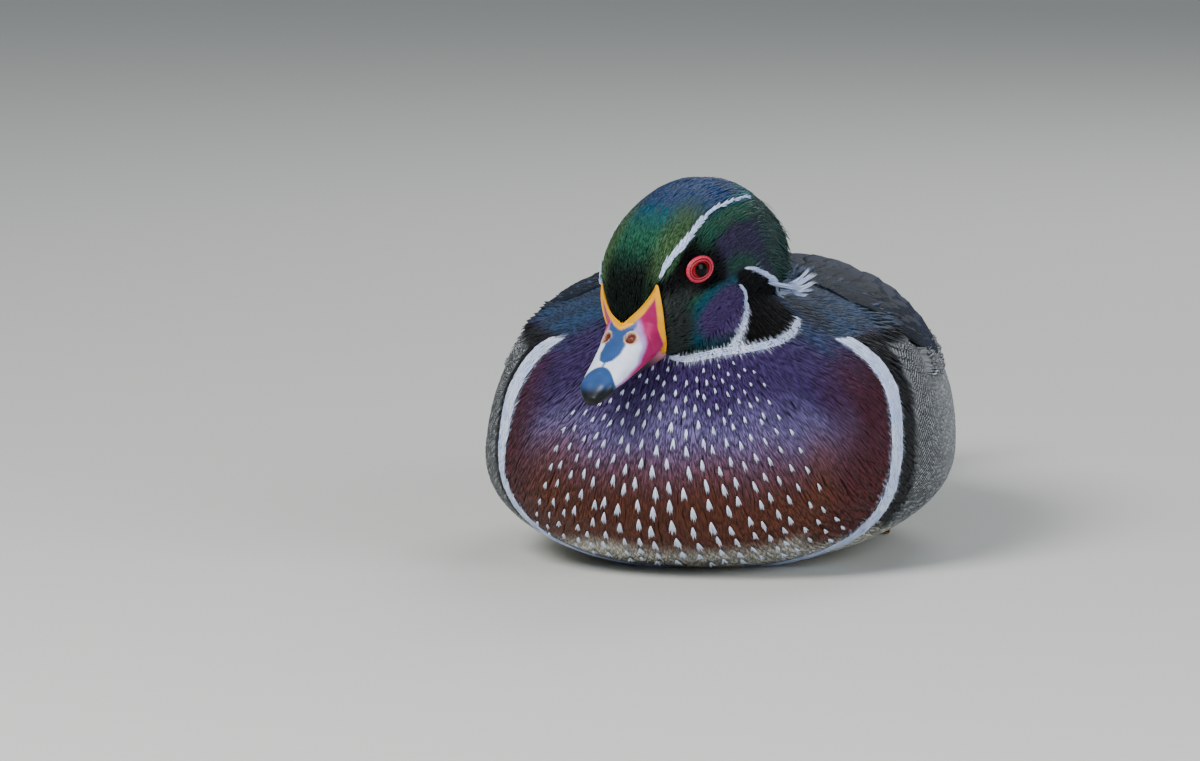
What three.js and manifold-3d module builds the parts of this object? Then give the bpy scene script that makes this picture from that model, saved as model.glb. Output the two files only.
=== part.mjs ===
// A male wood duck, life size, resting on its belly with its feet tucked under, as it floats.
// Millimetres. +Z is up, the bill points along -Y, and +X is the duck's left.
// The origin is the middle of the flat under the belly.
import * as THREE from "three";
import { mergeVertices } from "three/addons/utils/BufferGeometryUtils.js";
import Module from "manifold-3d";

const wasm = await Module();
wasm.setup();

// Driving dimensions
const GAP = 0.35; // clearance between touching pieces
const BODY_WIDTH = 175;
const BACK_HEIGHT = 108.5;
const BREAST_FRONT = 126; // from the origin forward to the breast
const TAIL_RISE = 12; // degrees
const TAIL_DROOP = 0.022; // how its sides fall away, as a share of the square of their distance out
const WING_INSET = 6; // how far the trunk lies in under the folded wing
const WING_LOW = 25; // degrees round the body from its widest, where the flank feathers meet the wing
const EYE_RADIUS = 5.6;
const HEAD_PLACE = new THREE.Vector3(-8.6, -95, 116); // midway between the eyes
const HEAD_YAW = 24; // degrees towards the duck's right
const HEAD_PITCH = 21; // degrees, bill down
const HEAD_ROLL = 2; // degrees, left side up

const DEGREE = Math.PI / 180;
const half = BODY_WIDTH / 2;
const front = -BREAST_FRONT;
const top = BACK_HEIGHT;

// Body stations from the throat down over the breast and back to the tail coverts. Each is a slanting section:
// its lowest point and highest point in the plane of symmetry (y, z), its half width, and the share of the way up
// at which it is widest.
const BODY = [
  { low: [-92, 106], high: [-60, 121], wide: 0.23 * half, at: 0.5 },
  { low: [-99, 97], high: [-54, 117], wide: 0.29 * half, at: 0.5 },
  { low: [-107, 85], high: [-46, top + 2.5], wide: 0.38 * half, at: 0.5 },
  { low: [-118, 70], high: [-36, top], wide: 0.52 * half, at: 0.52 },
  { low: [front, 53], high: [-24, top - 1], wide: 0.67 * half, at: 0.54 },
  { low: [-123, 36], high: [-12, top - 1], wide: 0.79 * half, at: 0.54 },
  { low: [-110, 17], high: [0, top], wide: 0.89 * half, at: 0.5 },
  { low: [-85, 4], high: [14, top + 0.5], wide: 0.965 * half, at: 0.44 },
  { low: [-50, -2], high: [28, top + 1.5], wide: 1.015 * half, at: 0.38 },
  { low: [-10, -3], high: [44, top + 1.5], wide: 1.025 * half, at: 0.35 },
  { low: [35, -3], high: [64, top], wide: 0.995 * half, at: 0.36 },
  { low: [75, 1], high: [90, top - 6], wide: 0.91 * half, at: 0.43 },
  { low: [108, 12], high: [118, top - 13], wide: 0.76 * half, at: 0.5 },
  { low: [140, 30], high: [146, top - 21.5], wide: 0.53 * half, at: 0.52 },
  { low: [166, 50], high: [170, top - 29], wide: 0.33 * half, at: 0.55 },
  { low: [186, 67], high: [186, top - 33], wide: 0.19 * half, at: 0.5 },
];
const BODY_END = BODY.length - 1;
const BODY_CUT = 2.2; // where the neck is parted from the trunk
const DORSAL_FULLNESS = 2.42; // exponents of the sections' rounded halves
const REAR_FULLNESS = 2.16; // the back's shoulders round off from station 6.5 to 9.5
const VENTRAL_FULLNESS = 2.15;

// Head stations from the bill's root back to the end of the crest, measured from midway between the eyes:
// lowest and highest point (forward, up), half width, and the share of the way up at which it is widest.
const HEAD = [
  { low: [25, -20], high: [31.5, -6], wide: 7, at: 0.4 },
  { low: [21, -24], high: [29.5, 0], wide: 10.5, at: 0.4 },
  { low: [14, -28], high: [24, 9], wide: 15.9, at: 0.4 },
  { low: [5, -31], high: [15, 17.5], wide: 21.1, at: 0.43 },
  { low: [-6, -33], high: [3, 23], wide: 24, at: 0.46 },
  { low: [-18, -35], high: [-11, 26], wide: 24.8, at: 0.5 },
  { low: [-29, -37], high: [-28.5, 25.8], wide: 24, at: 0.53 },
  { low: [-38, -38], high: [-44.5, 20.5], wide: 23, at: 0.54 },
  { low: [-46, -38], high: [-56.5, 9], wide: 20, at: 0.53 },
  { low: [-53, -37], high: [-66, -5], wide: 16, at: 0.5 },
  { low: [-61, -34], high: [-69.5, -19], wide: 9.5, at: 0.5 },
];
const HEAD_END = HEAD.length - 1;
const HEAD_FULLNESS = 2.45;

// Bill stations from inside the face to the nail, in the same measure: the upper bill, then the lower.
const UPPER_BILL = [
  { low: [10, -18], high: [12, 3], wide: 10, at: 0.35 },
  { low: [18, -19.5], high: [20, 2.5], wide: 11, at: 0.35 },
  { low: [26, -20.5], high: [28, -3], wide: 11.4, at: 0.3 },
  { low: [35, -20.5], high: [36, -8], wide: 10.3, at: 0.25 },
  { low: [44, -20.5], high: [44.5, -11.8], wide: 9.2, at: 0.2 },
  { low: [52, -21], high: [52.5, -14.6], wide: 8.2, at: 0.2 },
  { low: [58.5, -22], high: [59, -16.8], wide: 6.2, at: 0.3 },
  { low: [62.5, -24.2], high: [63, -20.4], wide: 3, at: 0.4 },
];
const LOWER_BILL = [
  { low: [12, -27], high: [12, -18], wide: 8, at: 0.6 },
  { low: [24, -25.6], high: [24, -18], wide: 8.6, at: 0.6 },
  { low: [36, -24.2], high: [36, -18.5], wide: 7.6, at: 0.6 },
  { low: [48, -23.8], high: [48, -19], wide: 6.4, at: 0.6 },
  { low: [56, -24.4], high: [56, -20.5], wide: 5, at: 0.6 },
  { low: [59.5, -24.8], high: [59.5, -22.6], wide: 2.6, at: 0.6 },
];
const BILL_FULLNESS = 2.6;

// Tail stations from under the coverts to its squared end.
const TAIL_ROOT = [150, 65];
const tailPlace = (along, up) => {
  const [y, z] = TAIL_ROOT;
  const [c, s] = [Math.cos(TAIL_RISE * DEGREE), Math.sin(TAIL_RISE * DEGREE)];
  return [y + along * c - up * s, z + along * s + up * c];
};
const TAIL = [
  { low: tailPlace(0, -7), high: tailPlace(0, 5), wide: 14, at: 0.5 },
  { low: tailPlace(22, -6), high: tailPlace(22, 5), wide: 17, at: 0.5 },
  { low: tailPlace(46, -4), high: tailPlace(46, 3.4), wide: 18, at: 0.5 },
  { low: tailPlace(66, -2), high: tailPlace(66, 1.4), wide: 17, at: 0.5 },
  { low: tailPlace(84, -0.9), high: tailPlace(84, 0.4), wide: 12, at: 0.5 },
];

// Value at t of a smooth curve through evenly numbered values.
function through(values, t) {
  const last = values.length - 1;
  const i = Math.min(Math.max(Math.floor(t), 0), last - 1);
  const f = t - i;
  const value = (k) =>
    k < 0 ? 2 * values[0] - values[1] : k > last ? 2 * values[last] - values[last - 1] : values[k];
  const [a, b, c, d] = [value(i - 1), value(i), value(i + 1), value(i + 2)];
  return b + 0.5 * f * (c - a + f * (2 * a - 5 * b + 4 * c - d + f * (3 * (b - c) + d - a)));
}

function smoothstep(from, to, x) {
  const s = Math.min(Math.max((x - from) / (to - from), 0), 1);
  return s * s * (3 - 2 * s);
}

// A signed power, for the rounded quarters of a section.
const round = (x, fullness) => Math.sign(x) * Math.abs(x) ** (2 / fullness);

// Point (sideways, along, up) of a run of stations, at station t and angle round the section from the left side.
function stationPoint(stations, t, angle, dorsal, ventral) {
  const read = (pick) => through(stations.map(pick), t);
  const low = [read((s) => s.low[0]), read((s) => s.low[1])];
  const high = [read((s) => s.high[0]), read((s) => s.high[1])];
  const at = read((s) => s.at);
  const rise = Math.sin(angle);
  const fullness = rise > 0 ? dorsal : ventral;
  const share = at + round(rise, fullness) * (rise > 0 ? 1 - at : at);
  return new THREE.Vector3(
    read((s) => s.wide) * round(Math.cos(angle), fullness),
    low[0] + share * (high[0] - low[0]),
    low[1] + share * (high[1] - low[1]),
  );
}

// Outward normal of a surface point(t, angle).
function normalOf(point, t, angle) {
  const e = 0.02;
  const along = point(t + e, angle).sub(point(t - e, angle));
  const round = point(t, angle + e).sub(point(t, angle - e));
  return along.cross(round).normalize();
}

// How far the trunk lies in under the folded wings and their scapulars.
function wingInset(t, angle) {
  const up = Math.asin(Math.sin(angle)) / DEGREE;
  const lengthways = smoothstep(5.6, 7, t) * (1 - smoothstep(12, 13.4, t));
  const across = smoothstep(WING_LOW - 1, WING_LOW + 12, up) * (1 - smoothstep(82, 88, up));
  return WING_INSET * lengthways * across;
}

// The duck's outline without the hollow under its wings, raised by height.
const dorsalFullness = (t) => DORSAL_FULLNESS + (REAR_FULLNESS - DORSAL_FULLNESS) * smoothstep(6.5, 9.5, t);
const outline = (t, angle) => stationPoint(BODY, t, angle, dorsalFullness(t), VENTRAL_FULLNESS);
const over = (t, angle, height) =>
  outline(t, angle).addScaledVector(normalOf(outline, t, angle), height);
const trunk = (t, angle, grown = 0) => over(t, angle, grown - wingInset(t, angle));

// Surfaces of the head, in its own frame: x is left, y is back and z is up.
function headLoft(stations, fullness) {
  const bare = (t, angle) => {
    const p = stationPoint(stations, t, angle, fullness, fullness);
    return new THREE.Vector3(p.x, -p.y, p.z);
  };
  const way = stations[0].low[0] > stations[1].low[0] ? 1 : -1;
  return (t, angle, grown = 0) => bare(t, angle).addScaledVector(normalOf(bare, t, angle), way * grown);
}
const headPoint = headLoft(HEAD, HEAD_FULLNESS);
const upperBillPoint = headLoft(UPPER_BILL, BILL_FULLNESS);
const lowerBillPoint = headLoft(LOWER_BILL, BILL_FULLNESS);

// A closed surface of rings from station a to station b, each end closed by a fan to its ring's middle.
function loft(point, a, b, rows, columns) {
  const places = [];
  const faces = [];
  for (let i = 0; i <= rows; i++) {
    const t = a + ((b - a) * i) / rows;
    for (let j = 0; j < columns; j++) places.push(point(t, (2 * Math.PI * (j + 0.5)) / columns));
  }
  for (const row of [0, rows]) {
    const ring = places.slice(row * columns, (row + 1) * columns);
    const middle = ring.reduce((sum, p) => sum.add(p), new THREE.Vector3()).divideScalar(columns);
    places.push(middle);
  }
  const firstMiddle = (rows + 1) * columns;
  for (let j = 0; j < columns; j++) {
    const k = (j + 1) % columns;
    for (let i = 0; i < rows; i++) {
      const [p, q, r, s] = [i * columns + j, i * columns + k, (i + 1) * columns + k, (i + 1) * columns + j];
      faces.push(p, q, r, p, r, s);
    }
    faces.push(firstMiddle, k, j);
    faces.push(firstMiddle + 1, rows * columns + j, rows * columns + k);
  }
  return geometryOf(places, faces);
}

function geometryOf(places, faces) {
  const geometry = new THREE.BufferGeometry().setFromPoints(places);
  return geometry.setIndex(faces);
}

// A manifold-3d solid of a closed geometry, its faces turned outwards.
function solidOf(geometry) {
  const bare = geometry.clone();
  bare.deleteAttribute("normal");
  bare.deleteAttribute("uv");
  const merged = mergeVertices(bare, 1e-4);
  const vertProperties = merged.attributes.position.array;
  const triVerts = new Uint32Array(merged.index.array);
  const made = new wasm.Manifold(new wasm.Mesh({ numProp: 3, vertProperties, triVerts }));
  if (made.volume() > 0) return made;
  return new wasm.Manifold(
    new wasm.Mesh({ numProp: 3, vertProperties, triVerts: triVerts.reverse() }),
  );
}

const joined = (solids) => solids.reduce((all, next) => all.add(next));

// The largest closed surface of a solid, as a mesh geometry.
function keptGeometry(solid) {
  const largest = solid.decompose().reduce((best, next) => (next.volume() > best.volume() ? next : best));
  const { vertProperties, triVerts, numProp } = largest.getMesh();
  const places = [];
  for (let i = 0; i < vertProperties.length; i += numProp)
    places.push(new THREE.Vector3(...vertProperties.subarray(i, i + 3)));
  return geometryOf(places, [...triVerts]);
}

// Everything above the floor, for cutting flats.
function aboveFloor() {
  const box = new THREE.BoxGeometry(600, 800, 400);
  box.translate(0, 0, 200);
  return solidOf(box);
}

// A feather: a thin blade along path(s), which gives its middle line, across(s) its side-to-side direction and
// featherEdge(s) its outline. It thins towards its tip and its edges, and tilt lifts one edge over its neighbour.
function vane({ path, across, halfWidth, thick, tilt = 0, steps = 3, cells = 2 }) {
  const places = [];
  for (let i = 0; i <= steps; i++) {
    const s = i / steps;
    const along = path(s + 0.02).sub(path(s - 0.02)).normalize();
    const side = across(s).addScaledVector(along, -across(s).dot(along)).normalize();
    const up = side.clone().cross(along);
    for (let j = 0; j <= cells; j++) {
      const a = (2 * j) / cells - 1;
      const spine = path(s).addScaledVector(side, a * halfWidth * featherEdge(s));
      spine.addScaledVector(up, a * tilt);
      const deep = thick * (1 - 0.5 * s) * (1 - 0.3 * Math.abs(a));
      places.push(spine.clone().addScaledVector(up, deep / 2));
      places.push(spine.clone().addScaledVector(up, -deep / 2));
    }
  }
  const faces = [];
  const quad = (p, q, r, s) => faces.push(p, q, r, p, r, s);
  const at = (i, j, below) => 2 * (i * (cells + 1) + j) + below;
  for (let i = 0; i < steps; i++) {
    for (let j = 0; j < cells; j++) {
      quad(at(i, j, 0), at(i + 1, j, 0), at(i + 1, j + 1, 0), at(i, j + 1, 0));
      faces.push(at(i, j, 1), at(i + 1, j + 1, 1), at(i + 1, j, 1));
      faces.push(at(i, j, 1), at(i, j + 1, 1), at(i + 1, j + 1, 1));
    }
    quad(at(i, 0, 0), at(i, 0, 1), at(i + 1, 0, 1), at(i + 1, 0, 0));
    quad(at(i, cells, 0), at(i + 1, cells, 0), at(i + 1, cells, 1), at(i, cells, 1));
  }
  for (let j = 0; j < cells; j++) {
    quad(at(0, j, 0), at(0, j + 1, 0), at(0, j + 1, 1), at(0, j, 1));
    quad(at(steps, j, 0), at(steps, j, 1), at(steps, j + 1, 1), at(steps, j + 1, 0));
  }
  return solidOf(geometryOf(places, faces));
}

// Half width along a feather: full soon after the root, rounded at the tip.
function featherEdge(s) {
  const tip = Math.sqrt(Math.max(1 - smoothstep(0.55, 1.08, s), 0));
  return (0.45 + 0.55 * smoothstep(0, 0.3, s)) * Math.max(tip, 0.12);
}

const material = (name, color, roughness, metalness = 0) =>
  new THREE.MeshStandardMaterial({ name, color, roughness, metalness });
const HEAD_GREEN = material("head feathers", 0x1d4a3c, 0.4, 0.3);
const CHESTNUT = material("breast feathers", 0x4a2430, 0.7);
const BRONZE = material("back feathers", 0x1d2430, 0.5, 0.2);
const BILL_RED = material("bill horn", 0xb8344e, 0.35);
const BILL_DARK = material("lower bill horn", 0x1a1a1c, 0.4);
const EYE_RED = material("eye", 0x8e1220, 0.08);
const FOOT = material("foot skin", 0x8a7434, 0.6);

function named(name, geometry, look) {
  const mesh = new THREE.Mesh(geometry, look);
  mesh.name = name;
  return mesh;
}

// Head frame
const headGroup = new THREE.Group();
headGroup.position.copy(HEAD_PLACE);
headGroup.rotation.set(HEAD_PITCH * DEGREE, HEAD_ROLL * -DEGREE, -HEAD_YAW * DEGREE, "ZXY");
headGroup.updateMatrixWorld(true);

// A steady scatter from -1 to 1.
function vary(seed) {
  const x = Math.sin(seed * 12.9898) * 43758.5453;
  return 2 * (x - Math.floor(x)) - 1;
}

// Crest locks, in tiers from the crown down over the nape, hanging clear of its end.
const CREST_TIERS = 4;
const CREST_LOCKS = 6;
function crestLocks(grown = 0) {
  const locks = [];
  for (let tier = 0; tier < CREST_TIERS; tier++) {
    for (let i = 0; i < CREST_LOCKS; i++) {
      const seed = tier * CREST_LOCKS + i + 1;
      const share = (i - (CREST_LOCKS - 1) / 2 + (tier % 2) * 0.4) / ((CREST_LOCKS - 1) / 2);
      const angle = (90 - share * (58 + 9 * tier)) * DEGREE;
      const from = 4.7 + tier * 1.15 + 0.12 * vary(seed);
      const reach = 2.5 + 0.3 * vary(seed + 50);
      const path = (s) => {
        const t = from + reach * s;
        const past = Math.max(t - HEAD_END, 0);
        const p = headPoint(Math.min(t, HEAD_END), angle, -1.3 + 2.5 * s);
        return p.add(new THREE.Vector3(0, 6, -5).multiplyScalar(past));
      };
      const across = (s) => {
        const t = Math.min(from + reach * s, HEAD_END - 0.1);
        return headPoint(t, angle - 0.05).sub(headPoint(t, angle + 0.05));
      };
      const halfWidth = 4.6 - 0.5 * tier + grown;
      locks.push(vane({ path, across, halfWidth, thick: 1.7 + 2 * grown, cells: 1 }));
    }
  }
  return locks;
}

const SIDES = [
  ["left", 1],
  ["right", -1],
];

// Eyes sit in sockets ringed by a swollen lid.
const EYE_PLACE = new THREE.Vector3(17.9, -1.7, 4.9);
const eyeCentre = (side) => new THREE.Vector3(side * EYE_PLACE.x, EYE_PLACE.y, EYE_PLACE.z);
function eyeball(side, radius) {
  const ball = new THREE.SphereGeometry(radius, 16, 10);
  ball.rotateZ(Math.PI / 2);
  return ball.translate(...eyeCentre(side));
}
function lid(side) {
  const ring = new THREE.TorusGeometry(EYE_RADIUS - 0.5, 1.1, 6, 18);
  ring.rotateY(Math.PI / 2);
  ring.rotateZ(side * -25 * DEGREE);
  const out = eyeCentre(side).add(new THREE.Vector3(side * 3, -1.4, 0.3));
  return ring.translate(...out);
}

// Tapering limb of round sections through places, each with its own radius, its ends closed.
function limb(places, radii, columns = 8, rows = 6) {
  const last = places.length - 1;
  const read = (pick, t) => through(places.map(pick), t);
  const middle = (t) =>
    new THREE.Vector3(read((p) => p[0], t), read((p) => p[1], t), read((p) => p[2], t));
  const point = (t, angle) => {
    const along = middle(t + 0.02).sub(middle(t - 0.02)).normalize();
    const side = new THREE.Vector3(1, 0, 0).addScaledVector(along, -along.x).normalize();
    const up = along.clone().cross(side);
    const radius = through(radii, t);
    return middle(t)
      .addScaledVector(side, radius * Math.cos(angle))
      .addScaledVector(up, radius * Math.sin(angle));
  };
  return solidOf(loft(point, 0, last, rows, columns));
}

// A flat plate from the floor up, fanned from a root to an edge.
function web(root, edge, height) {
  const places = [];
  for (const z of [0, height])
    for (const [x, y] of [root, ...edge]) places.push(new THREE.Vector3(x, y, z));
  const count = edge.length + 1;
  const faces = [];
  for (let i = 1; i < count - 1; i++) {
    faces.push(0, i + 1, i);
    faces.push(count, count + i, count + i + 1);
  }
  for (let i = 0; i < count; i++) {
    const k = (i + 1) % count;
    faces.push(i, k, count + k, i, count + k, count + i);
  }
  return solidOf(geometryOf(places, faces));
}

// Webbed foot flat on the floor, its toes forward under the flank.
const FOOT_ROOT = [46, 92];
const TOES = [
  { spread: 17, length: 46, lean: 1 },
  { spread: 0, length: 50, lean: 0 },
  { spread: -17, length: 40, lean: -1 },
];
const TOE_RADIUS = 2.2;
function footSolid(side, grown = 0) {
  const [rootX, rootY] = FOOT_ROOT;
  const along = (toe, share) => {
    const turn = toe.spread * DEGREE * (1 - 0.25 * share);
    const reach = toe.length * share;
    return [side * (rootX + Math.sin(turn) * reach), rootY - Math.cos(turn) * reach];
  };
  const pieces = TOES.map((toe) => {
    const places = [-0.08, 0.2, 0.45, 0.7, 0.9, 1.06].map((share) => [
      ...along(toe, share),
      share > 1 ? 1 : TOE_RADIUS * 0.75 + (share < 0 ? 1.4 : 0),
    ]);
    const radii = [2.9, 2.4, 2.1, 1.9, 1.7, 0.6].map((r) => r + grown);
    return limb(places, radii);
  });
  for (const [outer, inner] of [
    [TOES[0], TOES[1]],
    [TOES[1], TOES[2]],
  ]) {
    const [a, b] = [along(outer, 0.92), along(inner, 0.92)];
    const hollow = [(a[0] + b[0]) / 2, (a[1] + b[1]) / 2 + 5];
    const edge = side > 0 ? [b, hollow, a] : [a, hollow, b];
    pieces.push(web([side * rootX, rootY], edge, 1.3 + grown));
  }
  const hindToe = [
    [side * (rootX - 3), rootY + 1, 3],
    [side * (rootX - 8), rootY + 6, 2.4],
    [side * (rootX - 12), rootY + 10, 1.6],
  ];
  pieces.push(limb(hindToe, [1.9 + grown, 1.5 + grown, 0.7 + grown], 8, 4));
  return joined(pieces).intersect(aboveFloor());
}
function legSolid(side) {
  const [rootX, rootY] = FOOT_ROOT;
  const places = [
    [side * rootX, rootY - 3, 4.2],
    [side * (rootX - 0.5), rootY + 12, 6.6],
    [side * (rootX - 1), rootY + 24, 9.6],
    [side * (rootX - 2), rootY + 27, 17],
    [side * (rootX - 5), rootY + 20, 30],
  ];
  return limb(places, [3.3, 3.1, 4, 4.8, 6.4], 10, 10);
}

// Place on the folded wing's surface: s runs from the shoulder to the wing's point, v from its lower edge up.
const SHOULDER = 2.2; // how far the wing's middle swells over its edges
const WING_FROM = 5.6;
const WING_TIP = 14.1;
const WING_DEPTH = 9; // how far the wing's core goes down into the trunk before it is cut to it
function wingPlace(side, s, v, lift) {
  const t = WING_FROM + (WING_TIP - WING_FROM) * s;
  const low = WING_LOW + 30 * smoothstep(0.62, 1, s) + 14 * (1 - smoothstep(0, 0.14, s));
  const high = 86 - 14 * smoothstep(0.85, 1, s) - 8 * (1 - smoothstep(0, 0.1, s));
  const swell = SHOULDER * Math.sin(Math.PI * Math.min(1.15 * Math.max(v, 0), 1));
  const raised = 0.4 + swell + 2.4 * smoothstep(0.7, 1, s) + lift * (0.3 + 0.7 * smoothstep(0, 0.35, v));
  const p = over(t, (low + (high - low) * v) * DEGREE, raised);
  return new THREE.Vector3(side * p.x, p.y, p.z);
}
function wingPad(side) {
  const COLUMNS = 9;
  const ROWS = 4;
  const places = [];
  for (const lift of [0, -WING_DEPTH])
    for (let i = 0; i <= COLUMNS; i++)
      for (let j = 0; j <= ROWS; j++) places.push(wingPlace(side, i / COLUMNS, j / ROWS, lift));
  const layer = (COLUMNS + 1) * (ROWS + 1);
  const at = (i, j) => i * (ROWS + 1) + j;
  const faces = [];
  for (let i = 0; i < COLUMNS; i++)
    for (let j = 0; j < ROWS; j++) {
      const [p, q, r, s] = [at(i, j), at(i + 1, j), at(i + 1, j + 1), at(i, j + 1)];
      faces.push(p, q, r, p, r, s, layer + p, layer + r, layer + q, layer + p, layer + s, layer + r);
    }
  const wall = (p, q) => faces.push(p, layer + p, layer + q, p, layer + q, q);
  for (let i = 0; i < COLUMNS; i++) {
    wall(at(i, 0), at(i + 1, 0));
    wall(at(i + 1, ROWS), at(i, ROWS));
  }
  for (let j = 0; j < ROWS; j++) {
    wall(at(0, j + 1), at(0, j));
    wall(at(COLUMNS, j), at(COLUMNS, j + 1));
  }
  return solidOf(geometryOf(places, faces));
}

// Tiers of wing feathers: how many, where their roots (s, v) run from lowest to highest feather, where their
// tips do, their half width, and how far root and tip lie over the core.
const WING_TIERS = [
  { count: 5, root: [0.52, 0.22, 0.58, 0.5], tip: [0.9, 0.34, 1.1, 0.6], half: 5.6, from: -1, to: 0.3 },
  { count: 5, root: [0.4, 0.08, 0.48, 0.42], tip: [0.7, 0.06, 0.84, 0.4], half: 7, from: -0.8, to: 0.9 },
  { count: 4, root: [0.42, 0.48, 0.46, 0.86], tip: [0.86, 0.56, 0.94, 0.9], half: 8.6, from: -0.8, to: 1.5 },
  { count: 5, root: [0.3, 0.14, 0.34, 0.9], tip: [0.5, 0.11, 0.58, 0.91], half: 10.5, from: -0.9, to: 1.6 },
  { count: 5, root: [0.16, 0.15, 0.18, 0.88], tip: [0.37, 0.13, 0.41, 0.89], half: 11, from: -0.9, to: 1.5 },
  { count: 4, root: [0.03, 0.2, 0.05, 0.86], tip: [0.23, 0.18, 0.25, 0.88], half: 12, from: -1, to: 1.4 },
];
const FEATHER_TILT = 0.9;
function wingVanes(side) {
  const vanes = [];
  WING_TIERS.forEach((tier, row) => {
    for (let i = 0; i < tier.count; i++) {
      const share = i / (tier.count - 1);
      const seed = row * 10 + i + 1;
      const s0 = tier.root[0] + (tier.root[2] - tier.root[0]) * share;
      const v0 = tier.root[1] + (tier.root[3] - tier.root[1]) * share;
      const endS = tier.tip[0] + (tier.tip[2] - tier.tip[0]) * share + 0.012 * vary(seed);
      const endV = tier.tip[1] + (tier.tip[3] - tier.tip[1]) * share + 0.01 * vary(seed + 70);
      const at = (k) => [s0 + (endS - s0) * k, v0 + (endV - v0) * k];
      const path = (k) => wingPlace(side, ...at(k), tier.from + (tier.to - tier.from) * k);
      const across = (k) => {
        const [s, v] = at(k);
        return wingPlace(side, s, v - 0.04, 0).sub(wingPlace(side, s, v + 0.04, 0)).multiplyScalar(side);
      };
      const cells = 1;
      vanes.push(vane({ path, across, halfWidth: tier.half, thick: 1.2, tilt: side * FEATHER_TILT, cells }));
    }
  });
  return vanes;
}

// Tail feathers from outermost to the middle pair, which lie on top, and the coverts over their roots.
const TAIL_PAIRS = 6;
function tailPoint(t, angle) {
  const p = stationPoint(TAIL, t, angle, 2.4, 2.4);
  return p.setZ(p.z - TAIL_DROOP * p.x * p.x);
}
function tailBlade(x0, turn, from, to, height, halfWidth) {
  const path = (k) => {
    const along = from + (to - from) * k;
    const x = x0 + (along - from) * Math.tan(turn * DEGREE);
    const [y, z] = tailPlace(along, height);
    return new THREE.Vector3(x, y, z - TAIL_DROOP * x * x);
  };
  const across = (k) => {
    const x = path(k).x;
    return new THREE.Vector3(1, 0, -2 * TAIL_DROOP * x);
  };
  return vane({ path, across, halfWidth, thick: 1.3, cells: 1 });
}
function tailVanes() {
  const blades = [];
  for (let i = TAIL_PAIRS; i >= 1; i--)
    for (const [, side] of SIDES) {
      const end = 99 - 0.55 * i * i + 0.8 * vary(i * side);
      const height = 2.3 - 0.62 * i + (side > 0 ? 0 : 0.25);
      blades.push(tailBlade(side * (2 * i - 1), side * (0.25 + 1.05 * i), 30, end, height, 5.6));
    }
  for (let row = 0; row < 2; row++)
    for (let i = -2; i <= 2; i++)
      blades.push(tailBlade(5 * i, 2.2 * i, 22 - 8 * row, 62 - 14 * row, 3.2 + 1.1 * row, 5.4));
  return blades;
}

const wholeHead = solidOf(loft(headPoint, 0, HEAD_END, 18, 26));
const grownHead = solidOf(loft((t, a) => headPoint(t, a, GAP), -0.05, HEAD_END + 0.05, 18, 26));
let headSolid = joined([wholeHead, ...SIDES.map(([, side]) => solidOf(lid(side))), ...crestLocks()]);
for (const [, side] of SIDES) headSolid = headSolid.subtract(solidOf(eyeball(side, EYE_RADIUS + GAP)));
headGroup.add(named("head", keptGeometry(headSolid), HEAD_GREEN));
for (const [word, side] of SIDES) headGroup.add(named(`eye_${word}`, eyeball(side, EYE_RADIUS), EYE_RED));

const BILL_ENDS = [UPPER_BILL.length - 1, LOWER_BILL.length - 1];
const upperBill = solidOf(loft(upperBillPoint, 0, BILL_ENDS[0], 12, 18));
const grownBill = solidOf(loft((t, a) => upperBillPoint(t, a, GAP), -0.05, BILL_ENDS[0] + 0.1, 12, 18));
const lowerBill = solidOf(loft(lowerBillPoint, 0, BILL_ENDS[1], 10, 16));
headGroup.add(named("bill_upper", keptGeometry(upperBill.subtract(grownHead)), BILL_RED));
headGroup.add(
  named("bill_lower", keptGeometry(lowerBill.subtract(grownHead).subtract(grownBill)), BILL_DARK),
);

const toWorld = headGroup.matrixWorld.toArray();
const headCut = joined([grownHead, grownBill, lowerBill, ...crestLocks(GAP)]).transform(toWorld);
const neckSolid = solidOf(loft(trunk, 0, BODY_CUT - 0.04, 4, 30)).subtract(headCut);

const floor = aboveFloor();
const wholeTrunk = solidOf(loft(trunk, BODY_CUT, BODY_END, 26, 28));
const grownTrunk = solidOf(loft((t, a) => trunk(t, a, GAP), BODY_CUT - 0.04, BODY_END + 0.03, 26, 28));
let torsoSolid = wholeTrunk.subtract(headCut).intersect(floor);
for (const [, side] of SIDES) torsoSolid = torsoSolid.subtract(footSolid(side, GAP));

const duck = new THREE.Group();
duck.name = "wood duck";
duck.add(headGroup);
duck.add(named("neck", keptGeometry(neckSolid), CHESTNUT));
duck.add(named("torso", keptGeometry(torsoSolid), CHESTNUT));

const tail = joined([solidOf(loft(tailPoint, 0, TAIL.length - 1, 8, 16)), ...tailVanes()]).subtract(grownTrunk);
duck.add(named("tail", keptGeometry(tail), BRONZE));

for (const [word, side] of SIDES) {
  const wing = joined([wingPad(side), ...wingVanes(side)]).subtract(grownTrunk);
  duck.add(named(`wing_${word}`, keptGeometry(wing), BRONZE));
  duck.add(named(`foot_${word}`, keptGeometry(footSolid(side)), FOOT));
  const leg = legSolid(side).subtract(footSolid(side, GAP)).subtract(grownTrunk);
  duck.add(named(`leg_${word}`, keptGeometry(leg), FOOT));
}

export default duck;
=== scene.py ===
"""Look of a male wood duck afloat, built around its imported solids.

Places are worked out in millimetres in the solids' frame: +Z up, the bill towards -Y, +X the duck's left.
"""
import math

import bmesh
import bpy
import numpy as np
from mathutils import Matrix, Vector
from mathutils.bvhtree import BVHTree


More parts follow.
